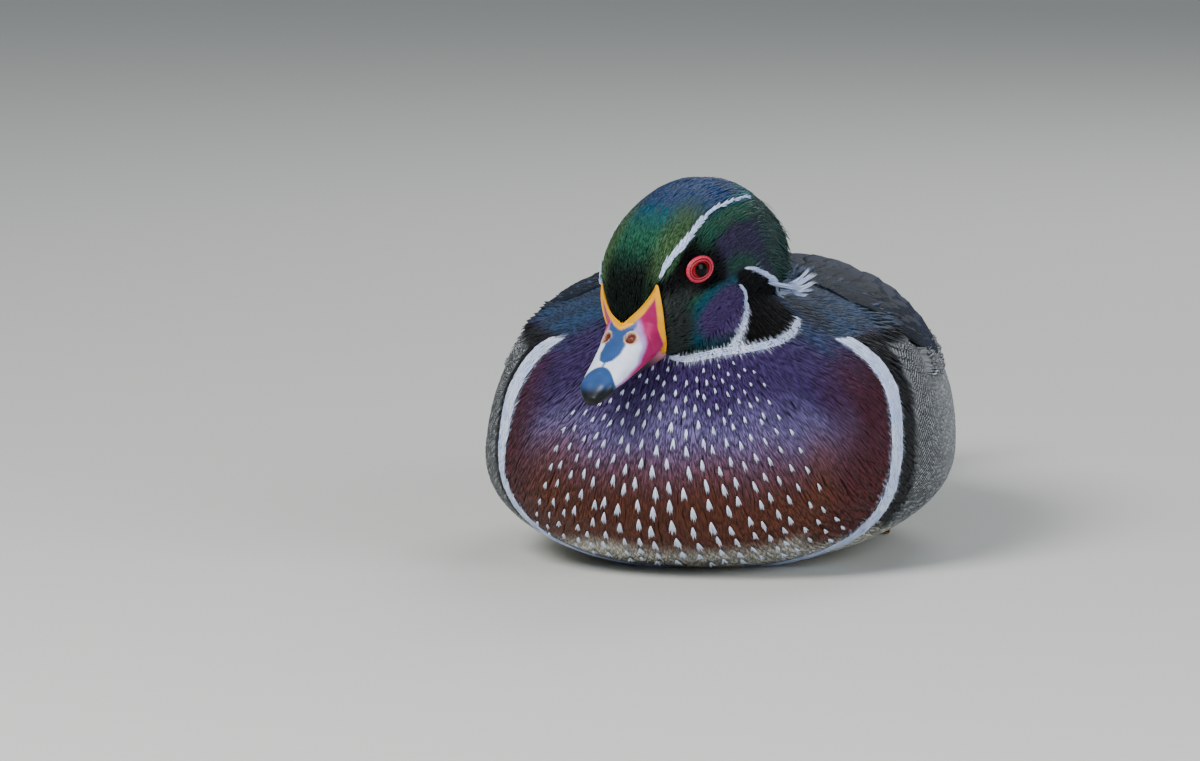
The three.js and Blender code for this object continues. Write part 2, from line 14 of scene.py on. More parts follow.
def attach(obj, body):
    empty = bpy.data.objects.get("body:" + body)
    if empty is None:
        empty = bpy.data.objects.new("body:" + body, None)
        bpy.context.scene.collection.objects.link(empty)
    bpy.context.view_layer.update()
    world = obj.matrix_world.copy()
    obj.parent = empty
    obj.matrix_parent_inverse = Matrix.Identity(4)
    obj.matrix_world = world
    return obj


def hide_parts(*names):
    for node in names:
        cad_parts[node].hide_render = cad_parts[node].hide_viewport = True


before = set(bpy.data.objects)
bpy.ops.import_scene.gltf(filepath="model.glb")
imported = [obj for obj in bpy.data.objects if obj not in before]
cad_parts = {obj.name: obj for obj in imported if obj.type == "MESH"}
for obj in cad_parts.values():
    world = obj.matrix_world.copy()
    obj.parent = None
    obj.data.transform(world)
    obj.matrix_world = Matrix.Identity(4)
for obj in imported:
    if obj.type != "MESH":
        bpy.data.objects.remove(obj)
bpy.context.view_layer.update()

bl_info = {
    "name": "Wood duck plumage",
    "version": (1, 0, 0),
    "blender": (4, 5, 0),
    "location": "View3D > Sidebar > Duck",
    "description": "Builds the skin, feathers, bill, eyes and feet of a male wood duck afloat",
    "category": "Object",
}

MM = 0.001

# Body: half its width, the height of the back and the breast's foremost place

HALF = 87.5
TOP = 108.5
FRONT = -126.0
# Sections from the throat over the breast to the tail coverts: lowest y, z, highest y, z, half width, and the
# share of the way up at which the section is widest.
BODY = np.array([
    (-92, 106, -60, 121, 0.23 * HALF, 0.5),
    (-99, 97, -54, 117, 0.29 * HALF, 0.5),
    (-107, 85, -46, TOP + 2.5, 0.38 * HALF, 0.5),
    (-118, 70, -36, TOP, 0.52 * HALF, 0.52),
    (FRONT, 53, -24, TOP - 1, 0.67 * HALF, 0.54),
    (-123, 36, -12, TOP - 1, 0.79 * HALF, 0.54),
    (-110, 17, 0, TOP, 0.89 * HALF, 0.5),
    (-85, 4, 14, TOP + 0.5, 0.965 * HALF, 0.44),
    (-50, -2, 28, TOP + 1.5, 1.015 * HALF, 0.38),
    (-10, -3, 44, TOP + 1.5, 1.025 * HALF, 0.35),
    (35, -3, 64, TOP, 0.995 * HALF, 0.36),
    (75, 1, 90, TOP - 6, 0.91 * HALF, 0.43),
    (108, 12, 118, TOP - 13, 0.76 * HALF, 0.5),
    (140, 30, 146, TOP - 21.5, 0.53 * HALF, 0.52),
    (166, 50, 170, TOP - 29, 0.33 * HALF, 0.55),
    (186, 67, 186, TOP - 33, 0.19 * HALF, 0.5),
], dtype=float)
# Head sections from the bill's root to the crest's end, back and up from midway between the eyes.
HEAD = np.array([
    (-25, -20, -31.5, -6, 7, 0.4),
    (-21, -24, -29.5, 0, 10.5, 0.4),
    (-14, -28, -24, 9, 15.9, 0.4),
    (-5, -31, -15, 17.5, 21.1, 0.43),
    (6, -33, -3, 23, 24, 0.46),
    (18, -35, 11, 26, 24.8, 0.5),
    (29, -37, 28.5, 25.8, 24, 0.53),
    (38, -38, 44.5, 20.5, 23, 0.54),
    (46, -38, 56.5, 9, 20, 0.53),
    (53, -37, 66, -5, 16, 0.5),
    (61, -34, 69.5, -19, 9.5, 0.5),
], dtype=float)
# Midway between the eyes, and how far the head turns to its right, bows and leans, in degrees
HEAD_PLACE = np.array([-8.6, -95.0, 116.0])
HEAD_YAW, HEAD_PITCH, HEAD_ROLL = 24.0, 21.0, 2.0
# Left eye in the head's frame, the way it looks, and the depth and reach of the hollow it lies in
EYE_RADIUS = 5.6
EYE_PLACE = np.array([17.9, -1.7, 4.9])
EYE_LOOK = np.array([0.9, -0.42, 0.08]) / np.linalg.norm([0.9, -0.42, 0.08])
EYE_HOLLOW, EYE_REACH = 1.7, 11.5
# Folded wing: degrees of its lower edge above the side, its first and last station, its swell at the shoulder
WING_LOW = 25.0
WING_FROM, WING_TIP = 5.6, 14.1
SHOULDER = 2.2
SIDES = ((1, "left"), (-1, "right"))


def unit(v):
    """Arrows of length 1 along the arrows v."""
    return v / np.maximum(np.linalg.norm(v, axis=-1, keepdims=True), 1e-9)


def smoothstep(low, high, x):
    """A rise from 0 at low to 1 at high: three times the share squared less twice the share cubed."""
    s = np.clip((x - low) / (high - low), 0, 1)
    return s * s * (3 - 2 * s)


def bump(x, middle, reach):
    """A smooth hill of height 1 at middle that comes to nothing at reach on either side."""
    return 1 - smoothstep(0, 1, np.abs(x - middle) / reach)


def mix(a, b, share):
    """Colours a towards b by share, row by row."""
    return a + (b - a) * np.asarray(share)[..., None]


def colour(text):
    """A hex sRGB colour as linear values."""
    value = np.array([int(text[i:i + 2], 16) for i in (0, 2, 4)]) / 255
    return np.where(value <= 0.04045, value / 12.92, ((value + 0.055) / 1.055) ** 2.4)


def wobble(points, period, seed=0):
    """Smooth noise of about -1 to 1 from sums of slanting sines, in the points' own units."""
    rng = np.random.default_rng(seed)
    total = np.zeros(points.shape[:-1])
    for octave in range(5):
        way = rng.normal(size=3)
        way *= 2 * math.pi / (period * (0.6 + 0.35 * octave)) / np.linalg.norm(way)
        total += np.sin(points @ way + rng.uniform(0, 6.28))
    return total / 3


def turned(degrees, axis):
    """A turn about one axis, as rows and columns."""
    return np.array(Matrix.Rotation(math.radians(degrees), 3, axis))


HEAD_TURN = turned(-HEAD_YAW, "Z") @ turned(HEAD_PITCH, "X") @ turned(-HEAD_ROLL, "Y")


def sizes():
    """The sizes and colours that the user can change."""
    return bpy.context.scene.duck_sizes


def dye(name):
    """The user's colour of that name, as linear values."""
    return np.array(getattr(sizes(), name))


def eye_distance(local):
    """Millimetres of head-frame places from the line along which the nearer eye looks."""
    off = np.abs(local) * [1, 0, 0] + local * [0, 1, 1] - EYE_PLACE
    ahead = off @ EYE_LOOK
    return np.where(ahead > -2, np.linalg.norm(off - ahead[..., None] * EYE_LOOK, axis=-1), 99.0)


class Surface:
    """A run of slanting superellipse sections; t runs along it and angle, in radians, round from its left."""

    def __init__(self, table, dorsal, ventral, turn=None, place=None, rear=None, hollow=False):
        first, last = 2 * table[0] - table[1], 2 * table[-1] - table[-2]
        self.table = np.vstack([first, table, last])
        self.end = len(table) - 1
        self.dorsal, self.ventral = dorsal, ventral
        self.rear = dorsal if rear is None else rear
        self.hollow = hollow
        self.turn = np.eye(3) if turn is None else turn
        self.place = np.zeros(3) if place is None else place

    def stations(self, t):
        """Values of the table at t, by a smooth cubic through its rows."""
        i = np.clip(np.floor(t), 0, self.end - 1).astype(int)
        f = (t - i)[..., None]
        a, b, c, d = (self.table[i + k] for k in range(4))
        return b + 0.5 * f * (c - a + f * (2 * a - 5 * b + 4 * c - d + f * (3 * (b - c) + d - a)))

    def bare(self, t, angle):
        low_y, low_z, high_y, high_z, wide, at = np.moveaxis(self.stations(t), -1, 0)
        rise, side = np.sin(angle), np.cos(angle)
        dorsal = self.dorsal + (self.rear - self.dorsal) * smoothstep(6.5, 9.5, np.asarray(t))
        power = 2 / np.where(rise > 0, dorsal, self.ventral)
        share = at + np.sign(rise) * np.abs(rise) ** power * np.where(rise > 0, 1 - at, at)
        x = wide * np.sign(side) * np.abs(side) ** power
        local = np.stack([x, low_y + share * (high_y - low_y), low_z + share * (high_z - low_z)], -1)
        return local @ self.turn.T + self.place

    def point(self, t, angle, height=0.0):
        """A place on the surface raised by height along its normal, and that normal. The head's surface
        sinks round each eye."""
        t, angle = np.broadcast_arrays(np.asarray(t, float), np.asarray(angle, float))
        normal = unit(np.cross(*self.slopes(t, angle)))
        places = self.bare(t, angle)
        if self.hollow:
            height = height - EYE_HOLLOW * smoothstep(EYE_REACH, EYE_RADIUS, eye_distance(self.inside(places)))
        return places + normal * np.asarray(height, float)[..., None], normal

    def slopes(self, t, angle, step=0.02):
        """Change of place per unit of t and per radian, from places a step to either side."""
        along = self.bare(t + step, angle) - self.bare(t - step, angle)
        across = self.bare(t, angle + step) - self.bare(t, angle - step)
        return along / (2 * step), across / (2 * step)

    def speeds(self, t, angle):
        """Millimetres per unit of t and per radian."""
        return tuple(np.linalg.norm(slope, axis=-1) for slope in self.slopes(t, angle))

    def inside(self, points):
        """World places in the surface's own frame."""
        return (points - self.place) @ self.turn


TRUNK = Surface(BODY, 2.42, 2.15, rear=2.16)
SKULL = Surface(HEAD, 2.45, 2.45, HEAD_TURN, HEAD_PLACE, hollow=True)


def scatter(surface, t0, t1, spacing, seed, keep=None):
    """Roots spread evenly over a surface between stations t0 and t1: rows a spacing apart at their widest,
    evenly spaced round each section, then thinned where sections lie closer. spacing may vary with place."""
    rng = np.random.default_rng(seed)
    ring = np.linspace(0, 2 * math.pi, 97)
    fine = np.linspace(t0, t1, 200)
    grid_t, grid_a = np.meshgrid(fine, ring, indexing="ij")
    along, across = surface.speeds(grid_t, grid_a)
    least = spacing if np.isscalar(spacing) else 0.6 * float(np.min(spacing(grid_t, grid_a)))
    widest = along.max(axis=1)
    steps = np.cumsum(widest) * (t1 - t0) / len(fine) / least
    rows = np.interp(np.arange(int(steps[-1])), steps, fine)
    found_t, found_a = [], []
    for number, t in enumerate(rows):
        length = np.cumsum(across[min(int((t - t0) / (t1 - t0) * 199), 199)]) * ring[1]
        count = max(int(length[-1] / least), 6)
        marks = (np.arange(count) + 0.5 * (number % 2)) / count * length[-1]
        angle = np.interp(marks, length, ring)
        found_a.append(angle + rng.normal(0, 0.25, count) * least / max(across.mean(), 1))
        found_t.append(t + rng.normal(0, 0.25, count) * least / along.mean())
    t, a = np.concatenate(found_t), np.concatenate(found_a)
    along, across = surface.speeds(t, a)
    target = spacing if np.isscalar(spacing) else spacing(t, a)
    row_gap = least * along / np.interp(t, fine, widest)
    chosen = rng.random(len(t)) < row_gap * least / target**2
    if keep is not None:
        chosen &= keep(t, a)
    return t[chosen], a[chosen]


# Meshes from arrays

def new_mesh(name, points, quads=None, triangles=None, colours=None, bake=None, strand=None, masks=None,
             smooth=True):
    """A finished object of points in millimetres. colours and masks are values per point, bake and strand are
    places per point for the two UV maps."""
    mesh = bpy.data.meshes.new(name)
    groups = [(part, size) for part, size in ((quads, 4), (triangles, 3)) if part is not None and len(part)]
    corners = np.concatenate([part.reshape(-1) for part, _ in groups]).astype(np.int32)
    sizes = np.concatenate([np.full(len(part), size, np.int32) for part, size in groups])
    mesh.vertices.add(len(points))
    mesh.vertices.foreach_set("co", (points * MM).astype(np.float32).ravel())
    mesh.loops.add(len(corners))
    mesh.loops.foreach_set("vertex_index", corners)
    mesh.polygons.add(len(sizes))
    mesh.polygons.foreach_set("loop_start", np.concatenate([[0], np.cumsum(sizes)[:-1]]).astype(np.int32))
    mesh.polygons.foreach_set("use_smooth", np.full(len(sizes), smooth))
    mesh.update(calc_edges=True)
    if colours is not None:
        layer = mesh.color_attributes.new(name="Plumage", type="FLOAT_COLOR", domain="POINT")
        rgba = np.ones((len(points), 4), np.float32)
        rgba[:, :3] = np.clip(colours, 0, 1)
        layer.data.foreach_set("color", rgba.ravel())
    for mask_name, values in (masks or {}).items():
        layer = mesh.attributes.new(name=mask_name, type="FLOAT", domain="POINT")
        layer.data.foreach_set("value", np.asarray(values, np.float32))
    for layer_name, places in (("OFBake", bake), ("Strand", strand)):
        if places is not None:
            layer = mesh.uv_layers.new(name=layer_name)
            layer.data.foreach_set("uv", places[corners].astype(np.float32).ravel())
    mesh.validate()
    obj = bpy.data.objects.new(name, mesh)
    bpy.context.scene.collection.objects.link(obj)
    return obj


def grid_faces(rows, columns, closed):
    """Quads of a grid of rows by columns points, closed round its columns or open."""
    i, j = np.meshgrid(np.arange(rows - 1), np.arange(columns if closed else columns - 1), indexing="ij")
    k = (j + 1) % columns
    return np.stack([i * columns + j, i * columns + k, (i + 1) * columns + k, (i + 1) * columns + j],
                    -1).reshape(-1, 4)


def closed_grid(grid, ends):
    """Points, quads and triangles of a grid closed round its columns and fanned to a point at each end."""
    rows, columns = grid.shape[:2]
    j = np.arange(columns)
    k = (j + 1) % columns
    first, last = rows * columns, (rows - 1) * columns
    fans = np.concatenate([
        np.stack([np.full(columns, first), k, j], -1),
        np.stack([np.full(columns, first + 1), last + j, last + k], -1),
    ])
    return np.concatenate([grid.reshape(-1, 3), ends]), grid_faces(rows, columns, True), fans


def loft_mesh(surface, t0, t1, rows, columns, height=0.0):
    """A closed loft of a surface from station t0 to t1, its faces outwards."""
    t, a = np.meshgrid(np.linspace(t0, t1, rows), np.linspace(0, 2 * math.pi, columns, endpoint=False),
                       indexing="ij")
    points, _ = surface.point(t, a, height)
    return closed_grid(points, points[[0, -1]].mean(axis=1))


def blade_faces(count, rows, ring):
    """Faces of closed blades: rows of ring points, a fan at the root and one point at the tip."""
    each = rows * ring + 1
    i, j = np.meshgrid(np.arange(rows - 1), np.arange(ring), indexing="ij")
    k = (j + 1) % ring
    quads = np.stack([ring * i + j, ring * i + k, ring * (i + 1) + k, ring * (i + 1) + j], -1).reshape(-1, 4)
    turn = np.arange(1, ring - 1)
    root = np.stack([0 * turn, turn + 1, turn], -1)
    last, j = ring * (rows - 1), np.arange(ring)
    tip = np.stack([last + j, last + (j + 1) % ring, np.full(ring, each - 1)], -1)
    start = (np.arange(count) * each)[:, None, None]
    return (start + quads[None]).reshape(-1, 4), (start + np.concatenate([root, tip])[None]).reshape(-1, 3)


# Shares of a tuft's length at which its points lie, and its width at the first three
TUFT_SHARES = np.array([0.0, 0.3, 0.68, 1.0])
TUFT_WIDTHS = np.array([0.45, 1.0, 0.85])
TUFT_POINTS = 10
# Tufts have 16 triangles each, so this many stay under 200,000
MOST_TUFTS = 11800
# Side of a tuft's patch on the OFBake map, and the least height of any coat above the floor
PATCH = 0.003
CLEAR = 0.25


class Coat:
    """Tufts gathered for one piece of the coat, each a thin closed blade of ten points."""

    def __init__(self):
        self.points, self.colours, self.bake, self.strand, self.masks = [], [], [], [], []

    def add(self, middles, ups, widths, bow, paint, seed, mask=None, scatter_tint=0.1):
        """middles and ups are (n, 4, 3): each tuft's middle line and its surface normals. paint gives a linear
        colour for places (n, k, 3). widths and bow are per tuft."""
        n = len(middles)
        along = unit(np.gradient(middles, axis=1))
        side = unit(np.cross(along, ups))
        half = (np.asarray(widths, float).reshape(-1, 1) / 2) * TUFT_WIDTHS
        left = middles[:, :3] - side[:, :3] * half[..., None]
        right = middles[:, :3] + side[:, :3] * half[..., None]
        ridge = middles[:, :3] + ups[:, :3] * (np.asarray(bow, float).reshape(-1, 1) * TUFT_WIDTHS)[..., None]
        body = np.stack([left, ridge, right], axis=2).reshape(n, 9, 3)
        points = np.concatenate([body, middles[:, 3:4]], axis=1)
        points[..., 2] = np.maximum(points[..., 2], CLEAR)
        rng = np.random.default_rng(seed)
        tint = 1 + scatter_tint * rng.normal(size=(n, 1, 1))
        colours = paint(points) * np.clip(tint, 0.6, 1.5)
        across = np.tile([0.0, 0.5, 1.0], 3)
        strand = np.stack([np.append(across, 0.5), np.repeat(TUFT_SHARES, [3, 3, 3, 1])], -1)
        patch = (strand - 0.5) * PATCH
        self.points.append(points.reshape(-1, 3))
        self.colours.append(colours.reshape(-1, 3))
        self.bake.append((skin_unwrap(middles[:, 0])[:, None] + patch[None]).reshape(-1, 2))
        jitter = rng.random((n, 1, 2)) * [7, 0]
        self.strand.append((strand[None] + jitter).reshape(-1, 2))
        self.masks.append(np.zeros(n * TUFT_POINTS) if mask is None else mask(points.reshape(-1, 3)))

    def build(self, name):
        """One object for every MOST_TUFTS tufts, so that each stays under 200,000 triangles."""
        points, colours = np.concatenate(self.points), np.concatenate(self.colours)
        bake, strand, masks = np.concatenate(self.bake), np.concatenate(self.strand), np.concatenate(self.masks)
        count = len(points) // TUFT_POINTS
        pieces = max(1, math.ceil(count / MOST_TUFTS))
        order = np.argsort(points.reshape(count, TUFT_POINTS, 3)[:, 0, 1], kind="stable")
        made = []
        for number, chosen in enumerate(np.array_split(order, pieces)):
            rows = (chosen[:, None] * TUFT_POINTS + np.arange(TUFT_POINTS)).reshape(-1)
            quads, triangles = blade_faces(len(chosen), 3, 3)
            label = name if pieces == 1 else f"{name}_{number + 1}"
            made.append(new_mesh(label, points[rows], quads, triangles, colours[rows], bake[rows], strand[rows],
                                 {"Pattern": masks[rows]}))
        return made


def lay(surface, t, angle, length, rise, sink, seed, turn=0.0, scatter_turn=0.12):
    """Middle lines and normals of tufts that lie along a surface from their roots at (t, angle): sunk at the
    root by sink, raised at the tip by rise, turned from the surface's run by turn radians."""
    rng = np.random.default_rng(seed)
    n = len(t)
    along, across = surface.speeds(t, angle)
    heading = turn + scatter_turn * rng.normal(size=n)
    length = np.asarray(length) * (1 + 0.15 * rng.normal(size=n))
    dt = (length * np.cos(heading) / along)[:, None] * TUFT_SHARES
    da = (length * np.sin(heading) / across)[:, None] * TUFT_SHARES
    rise, sink = (np.broadcast_to(np.asarray(v, float), (n,))[:, None] for v in (rise, sink))
    lift = rise * (1 + 0.25 * rng.normal(size=(n, 1)))
    height = -sink + (lift + sink) * TUFT_SHARES**0.8
    return surface.point(t[:, None] + dt, angle[:, None] + da, height)


def on_head(points):
    """Which world places belong to the head's part of the skin."""
    local = SKULL.inside(points)
    return (local[..., 2] > -30) & (local[..., 1] > -34) & (points[..., 2] > 84)


# Bands of the OFBake picture that the body's and the head's skin fill, and millimetres along each: the place
# where it starts and its length
BODY_BAND, HEAD_BAND = (0.02, 0.52), (0.56, 0.8)
BODY_RUN, HEAD_RUN = (-130, 330), (-35, 115)


def skin_unwrap(points):
    """Places for OFBake, one for each world place: round the head or trunk across the picture, and along it
    up a band of the picture."""
    local, head = SKULL.inside(points), on_head(points)
    axis = np.interp(points[..., 1], [-130, -60, 40, 190], [70, 50, 50, 70])
    turn = np.where(head, np.arctan2(local[..., 2] + 8, local[..., 0]),
                    np.arctan2(points[..., 2] - axis, points[..., 0])) % (2 * math.pi)
    share = np.where(head, (local[..., 1] - HEAD_RUN[0]) / HEAD_RUN[1],
                     (points[..., 1] - BODY_RUN[0]) / BODY_RUN[1])
    low, high = (np.where(head, HEAD_BAND[i], BODY_BAND[i]) for i in (0, 1))
    return np.stack([0.02 + 0.96 * turn / (2 * math.pi), low + (high - low) * np.clip(share, 0, 1)], -1)


# Markings: the colours that stay fixed. The user's own are in DuckSizes.

CROWN_TEAL = colour("185c66")
HEAD_BLACK, NAPE_PURPLE, REAR_GREEN = colour("050607"), colour("383150"), colour("1b3f3c")
CHEEK_TEAL, LORE_OLIVE = colour("1c5262"), colour("2e3432")
BROW_OLIVE, NAPE_GREEN = colour("46603c"), colour("255243")
# The bluish white here is painted shade lit by the sky, for the chin and the white lines
THROAT_BLACK, PAINTED_SKY_SHADE_WHITE = colour("010102"), colour("9cb6f2")
# The breast's lighter grey-violet band is painted sheen
BREAST_PAINTED_SHEEN, BREAST_WINE, BREAST_MAROON = colour("6e6494"), colour("704c5e"), colour("4e1c24")
# The mantle's blue is painted sheen, laid in soft patches over the slate
MANTLE_SLATE, MANTLE_PAINTED_SHEEN, BACK_BRONZE = colour("1c2838"), colour("2c4a72"), colour("12161d")
BAR_BLACK, FLANK_DARK = colour("0c0e16"), colour("2c2f33")
RUMP_BLACK, RUMP_MAROON, VENT_BROWN, BELLY_WHITE = (
    colour("101418"), colour("34121e"), colour("241e1a"), colour("e6e2d8"))

# Head lines on the left side, as left, back and up from midway between the eyes, in millimetres
BROW_LINE = [(12.6, -18.8, 7.9), (13.5, -15, 11.2), (14.9, -10.3, 13.6), (16, -5.4, 15.1), (16.9, 1.7, 17.2),
             (17.2, 9.5, 19), (17.4, 17.1, 19.6), (18.5, 24.2, 19.1), (18.3, 34.1, 16.5), (17.9, 43.9, 13)]
EYE_LINE = [(23.9, 19, -5.1), (23.9, 24.7, -7.9), (23.7, 29.2, -10.9), (22.7, 35.4, -16.1),
            (20.5, 43.4, -22.2), (18.8, 48, -31)]
CRESCENT = [(23.8, 13.8, -8.9), (23.2, 17.6, -14.7), (24.2, 17.3, -20.1), (26.1, 11.5, -22.7),
            (27.1, 5.6, -25.3), (27.3, -0.3, -27.5), (26.2, -4.9, -28.3)]
THROAT_LINE = [(7.1, -17.5, -25.2), (12.4, -17.7, -26.7), (18.7, -13.3, -27.3), (24.2, -7.5, -27.9),
               (29.3, -1.6, -29.8), (33.5, 5.7, -32), (35.9, 14.5, -34.1), (36, 23.2, -35.4),
               (34.1, 31.6, -35.8), (31.1, 37.6, -35.3)]
# Millimetres from a line's middle to the end of its paint, as a share of its width
PAINT_SHARE = 0.34
# Middle of the curve that the throat line makes round the chin, left and back in the head's frame
THROAT_MIDDLE = (0.0, 8.0)
# How far lower the brow line lies on the right, where the photo hides it behind the crown
BROW_DROP = np.array([0, 0, 3.4])
# Widths of each head line at even steps along it, the length of its tufts and how far their tips stray
HEAD_LINES = (
    (BROW_LINE, (0.8, 1.6, 1.6, 1.1, 0.7, 0.45, 0.3, 0.25, 0.2), 4.2, 0.5),
    (EYE_LINE, (0.4, 1.4, 1.6, 1.6, 1.8, 2.2), 4.0, 0.2),
    (CRESCENT, (0.8, 1.5, 2.0, 2.4, 2.5, 2.4), 2.4, 0.25),
    (THROAT_LINE[:5], (2.0, 3.2, 3.2, 3.0), 2.8, 0.2),
)
THROAT_REAR = (THROAT_LINE[4:], (3.0, 2.8, 2.8, 2.8, 2.6, 1.6), 2.8, 0.2)
# Plume at the end of the line behind the eye: each lock's root, tip and number of strands
PLUME = [((20.8, 36, -18.5), (29, 48, -28), 60), ((25.5, 45, -26), (31.5, 56.5, -25), 16),
         ((25.5, 45, -25.5), (29.5, 57, -23), 10), ((26, 45.5, -27), (31.3, 55.5, -28), 14),
         ((26, 46, -27.5), (30, 53.5, -31), 12), ((25, 45.5, -28), (28, 51, -32), 9),
         ((22, 43, -27), (25, 53, -31), 12)]
# White bar before each wing: height, then its front and rear edge back from the origin. The bowed neck pushes
# the right one forward.
BAR_LEFT = np.array([(0, -66, -56), (20, -68.5, -60), (38, -69, -61), (50, -67.5, -58.5), (60, -64, -53.5),
                     (70, -60.5, -49), (79, -61, -49.5), (88, -64, -53.5), (92, -65, -58)])
BAR_RIGHT = np.array([(0, -71, -64), (20, -75, -68), (38, -76.5, -70.5), (44, -79, -71), (52, -81, -70),
                      (60, -80.5, -66), (67, -78, -62), (75, -76, -60), (82, -74, -59), (86, -73, -61),
                      (90, -71, -66)])
# How far the black behind each white bar reaches
BLACK_LEFT, BLACK_RIGHT = 14.5, 6.5


def white_share(local):
    """How far the white lines cover head-frame places, alike on both sides: full inside half a line's width."""
    flat_sides = (np.abs(local) * [1, 0, 0] + local * [0, 1, 1]).reshape(-1, 3)
    share = np.zeros(len(flat_sides))
    left = local.reshape(-1, 3)[:, 0] > 0
    lowered = flat_sides + BROW_DROP * (~left[:, None])
    for points, widths, _, _ in (*HEAD_LINES, THROAT_REAR):
        flat = lowered if points is BROW_LINE else flat_sides
        line, marks = resampled(points, 0.8)
        half = PAINT_SHARE * np.interp(marks / marks[-1], np.linspace(0, 1, len(widths)), widths)
        near = ((flat > line.min(axis=0) - 3) & (flat < line.max(axis=0) + 3)).all(axis=1)
        near = np.flatnonzero(near & (left | (points is not THROAT_REAR[0])))
        for part in np.array_split(near, len(near) // 4000 + 1):
            gaps = np.linalg.norm(flat[part][:, None] - line[None], axis=-1)
            nearest = gaps.argmin(axis=1)
            inside = half[nearest] - gaps[np.arange(len(part)), nearest]
            share[part] = np.maximum(share[part], smoothstep(-0.4, 0.2, inside))
    return share.reshape(local.shape[:-1])


def paint_head(points):
    """Linear colours of the head's feathers at world places, alike on both sides."""
    local = SKULL.inside(points)
    back, side, up = local[..., 1], np.abs(local[..., 0]), local[..., 2]
    noise = wobble(local, 16, 3)
    # Crown, green before and blue on top, the blue a painted sheen of its iridescent feathers where light falls from
    # above, with olive above the brow line and a black forehead
    tone = mix(dye("crown_green"), CROWN_TEAL, smoothstep(-8, 6, back + 2 * noise))
    tone = mix(tone, dye("crown_painted_sheen"), smoothstep(0, 16, back + 2.5 * noise) * smoothstep(15, 21, up))
    brow = np.interp(back, [-19, -5, 10, 24, 44], [8, 15, 19, 19, 13])
    tone = mix(tone, BROW_OLIVE, 0.9 * bump(up, brow + 3, 9) * smoothstep(5, 11, side) * smoothstep(26, 4, back))
    tone = mix(tone, HEAD_BLACK, 0.97 * smoothstep(-7, -24, back + 2 * noise) * smoothstep(16, 7, side))
    # Behind the eye, down from the brow line: black, green, purple, and green again at the rear
    drop = brow - up
    behind = mix(HEAD_BLACK, NAPE_GREEN, smoothstep(-1, 8, back + 1.5 * noise) * smoothstep(11, 4, drop))
    behind = mix(behind, NAPE_PURPLE, smoothstep(5, 10, drop + noise) * smoothstep(5, 14, back))
    behind = mix(behind, REAR_GREEN, smoothstep(33, 44, back + 3 * noise))
    behind = mix(behind, LORE_OLIVE, smoothstep(-2, -13, back) * smoothstep(5, -2, up))
    tone = mix(tone, behind, smoothstep(-1, 2, drop) * smoothstep(8, 12, side))
    # Below the line behind the eye: a purple patch ringed with teal and green, and the black throat
    eye_line = np.interp(back, [-14, 19, 29, 43, 60], [-3, -5, -11, -22, -36])
    green = bump(up, eye_line + 3, 7) * smoothstep(7, 13, back) * smoothstep(36, 26, back) * smoothstep(4, 8, side)
    tone = mix(tone, NAPE_GREEN, 0.9 * green)
    lower = smoothstep(1.5, -1.5, up - eye_line) * smoothstep(4, 8, side)
    ring = np.hypot((back - 3) / 18, (up + 15.5) / 12.5) + 0.05 * noise
    cheek = mix(dye("cheek_purple"), CHEEK_TEAL, smoothstep(0.62, 0.9, ring))
    cheek = mix(cheek, NAPE_GREEN, smoothstep(0.95, 1.15, ring))
    cheek = mix(cheek, LORE_OLIVE, smoothstep(-10, -16, back + 1.5 * noise))
    cheek = mix(cheek, HEAD_BLACK, 0.85 * smoothstep(-22, -27, up))
    front = np.interp(-up, [8.9, 14.7, 20.1, 22.7, 25.3, 27.5, 28.3], [13.8, 17.6, 17.3, 11.5, 5.6, -0.3, -4.9])
    cheek = mix(cheek, THROAT_BLACK, smoothstep(-0.8, 0.8, back - front))
    tone = mix(tone, cheek, lower)
    # The chin's underside: white painted bluish as shade lit by the sky
    tone = mix(tone, PAINTED_SKY_SHADE_WHITE, smoothstep(-27, -30, up) * smoothstep(-4, -12, back))
    return mix(tone, dye("white"), white_share(local))


def throat_reach(local):
    """How far head-frame places lie inside the throat line's curve, in millimetres."""
    line, _ = resampled(THROAT_LINE, 1.0)
    off = line[:, :2] - THROAT_MIDDLE
    angle, reach = np.degrees(np.arctan2(off[:, 1], off[:, 0])), np.hypot(off[:, 0], off[:, 1])
    angle, reach = np.append(angle, [75, 90]), np.append(reach, [34, 34])
    dx, dy = np.abs(local[..., 0]), local[..., 1] - THROAT_MIDDLE[1]
    return np.interp(np.degrees(np.arctan2(dy, dx)), angle, reach) - np.hypot(dx, dy)


def in_throat(points):
    """Share of world places that lie between the head and the throat line."""
    local = SKULL.inside(points)
    return smoothstep(-0.8, 0.8, throat_reach(local)) * smoothstep(-42, -38, local[..., 2])


def bar_edges(points):
    """Front and rear edge of the white bar at world places' heights, and the width of the black behind it."""
    x, _, z = np.moveaxis(points, -1, 0)
    left, right = ([np.interp(z, bar[:, 0], bar[:, i]) for i in (1, 2)] for bar in (BAR_LEFT, BAR_RIGHT))
    return (np.where(x > 0, left[0], right[0]), np.where(x > 0, left[1], right[1]),
            np.where(x > 0, BLACK_LEFT, BLACK_RIGHT))


def mantle_share(points):
    """How far the slate mantle covers world places: above a line that slants down over the shoulders."""
    x, y, z = np.moveaxis(points, -1, 0)
    edge = 131.4 + 0.254 * y - 0.494 * np.abs(x)
    edge = edge + (88 - edge) * smoothstep(-52, -36, y)
    return smoothstep(-2.5, 2.5, z - edge + 2 * wobble(points, 20, 8))


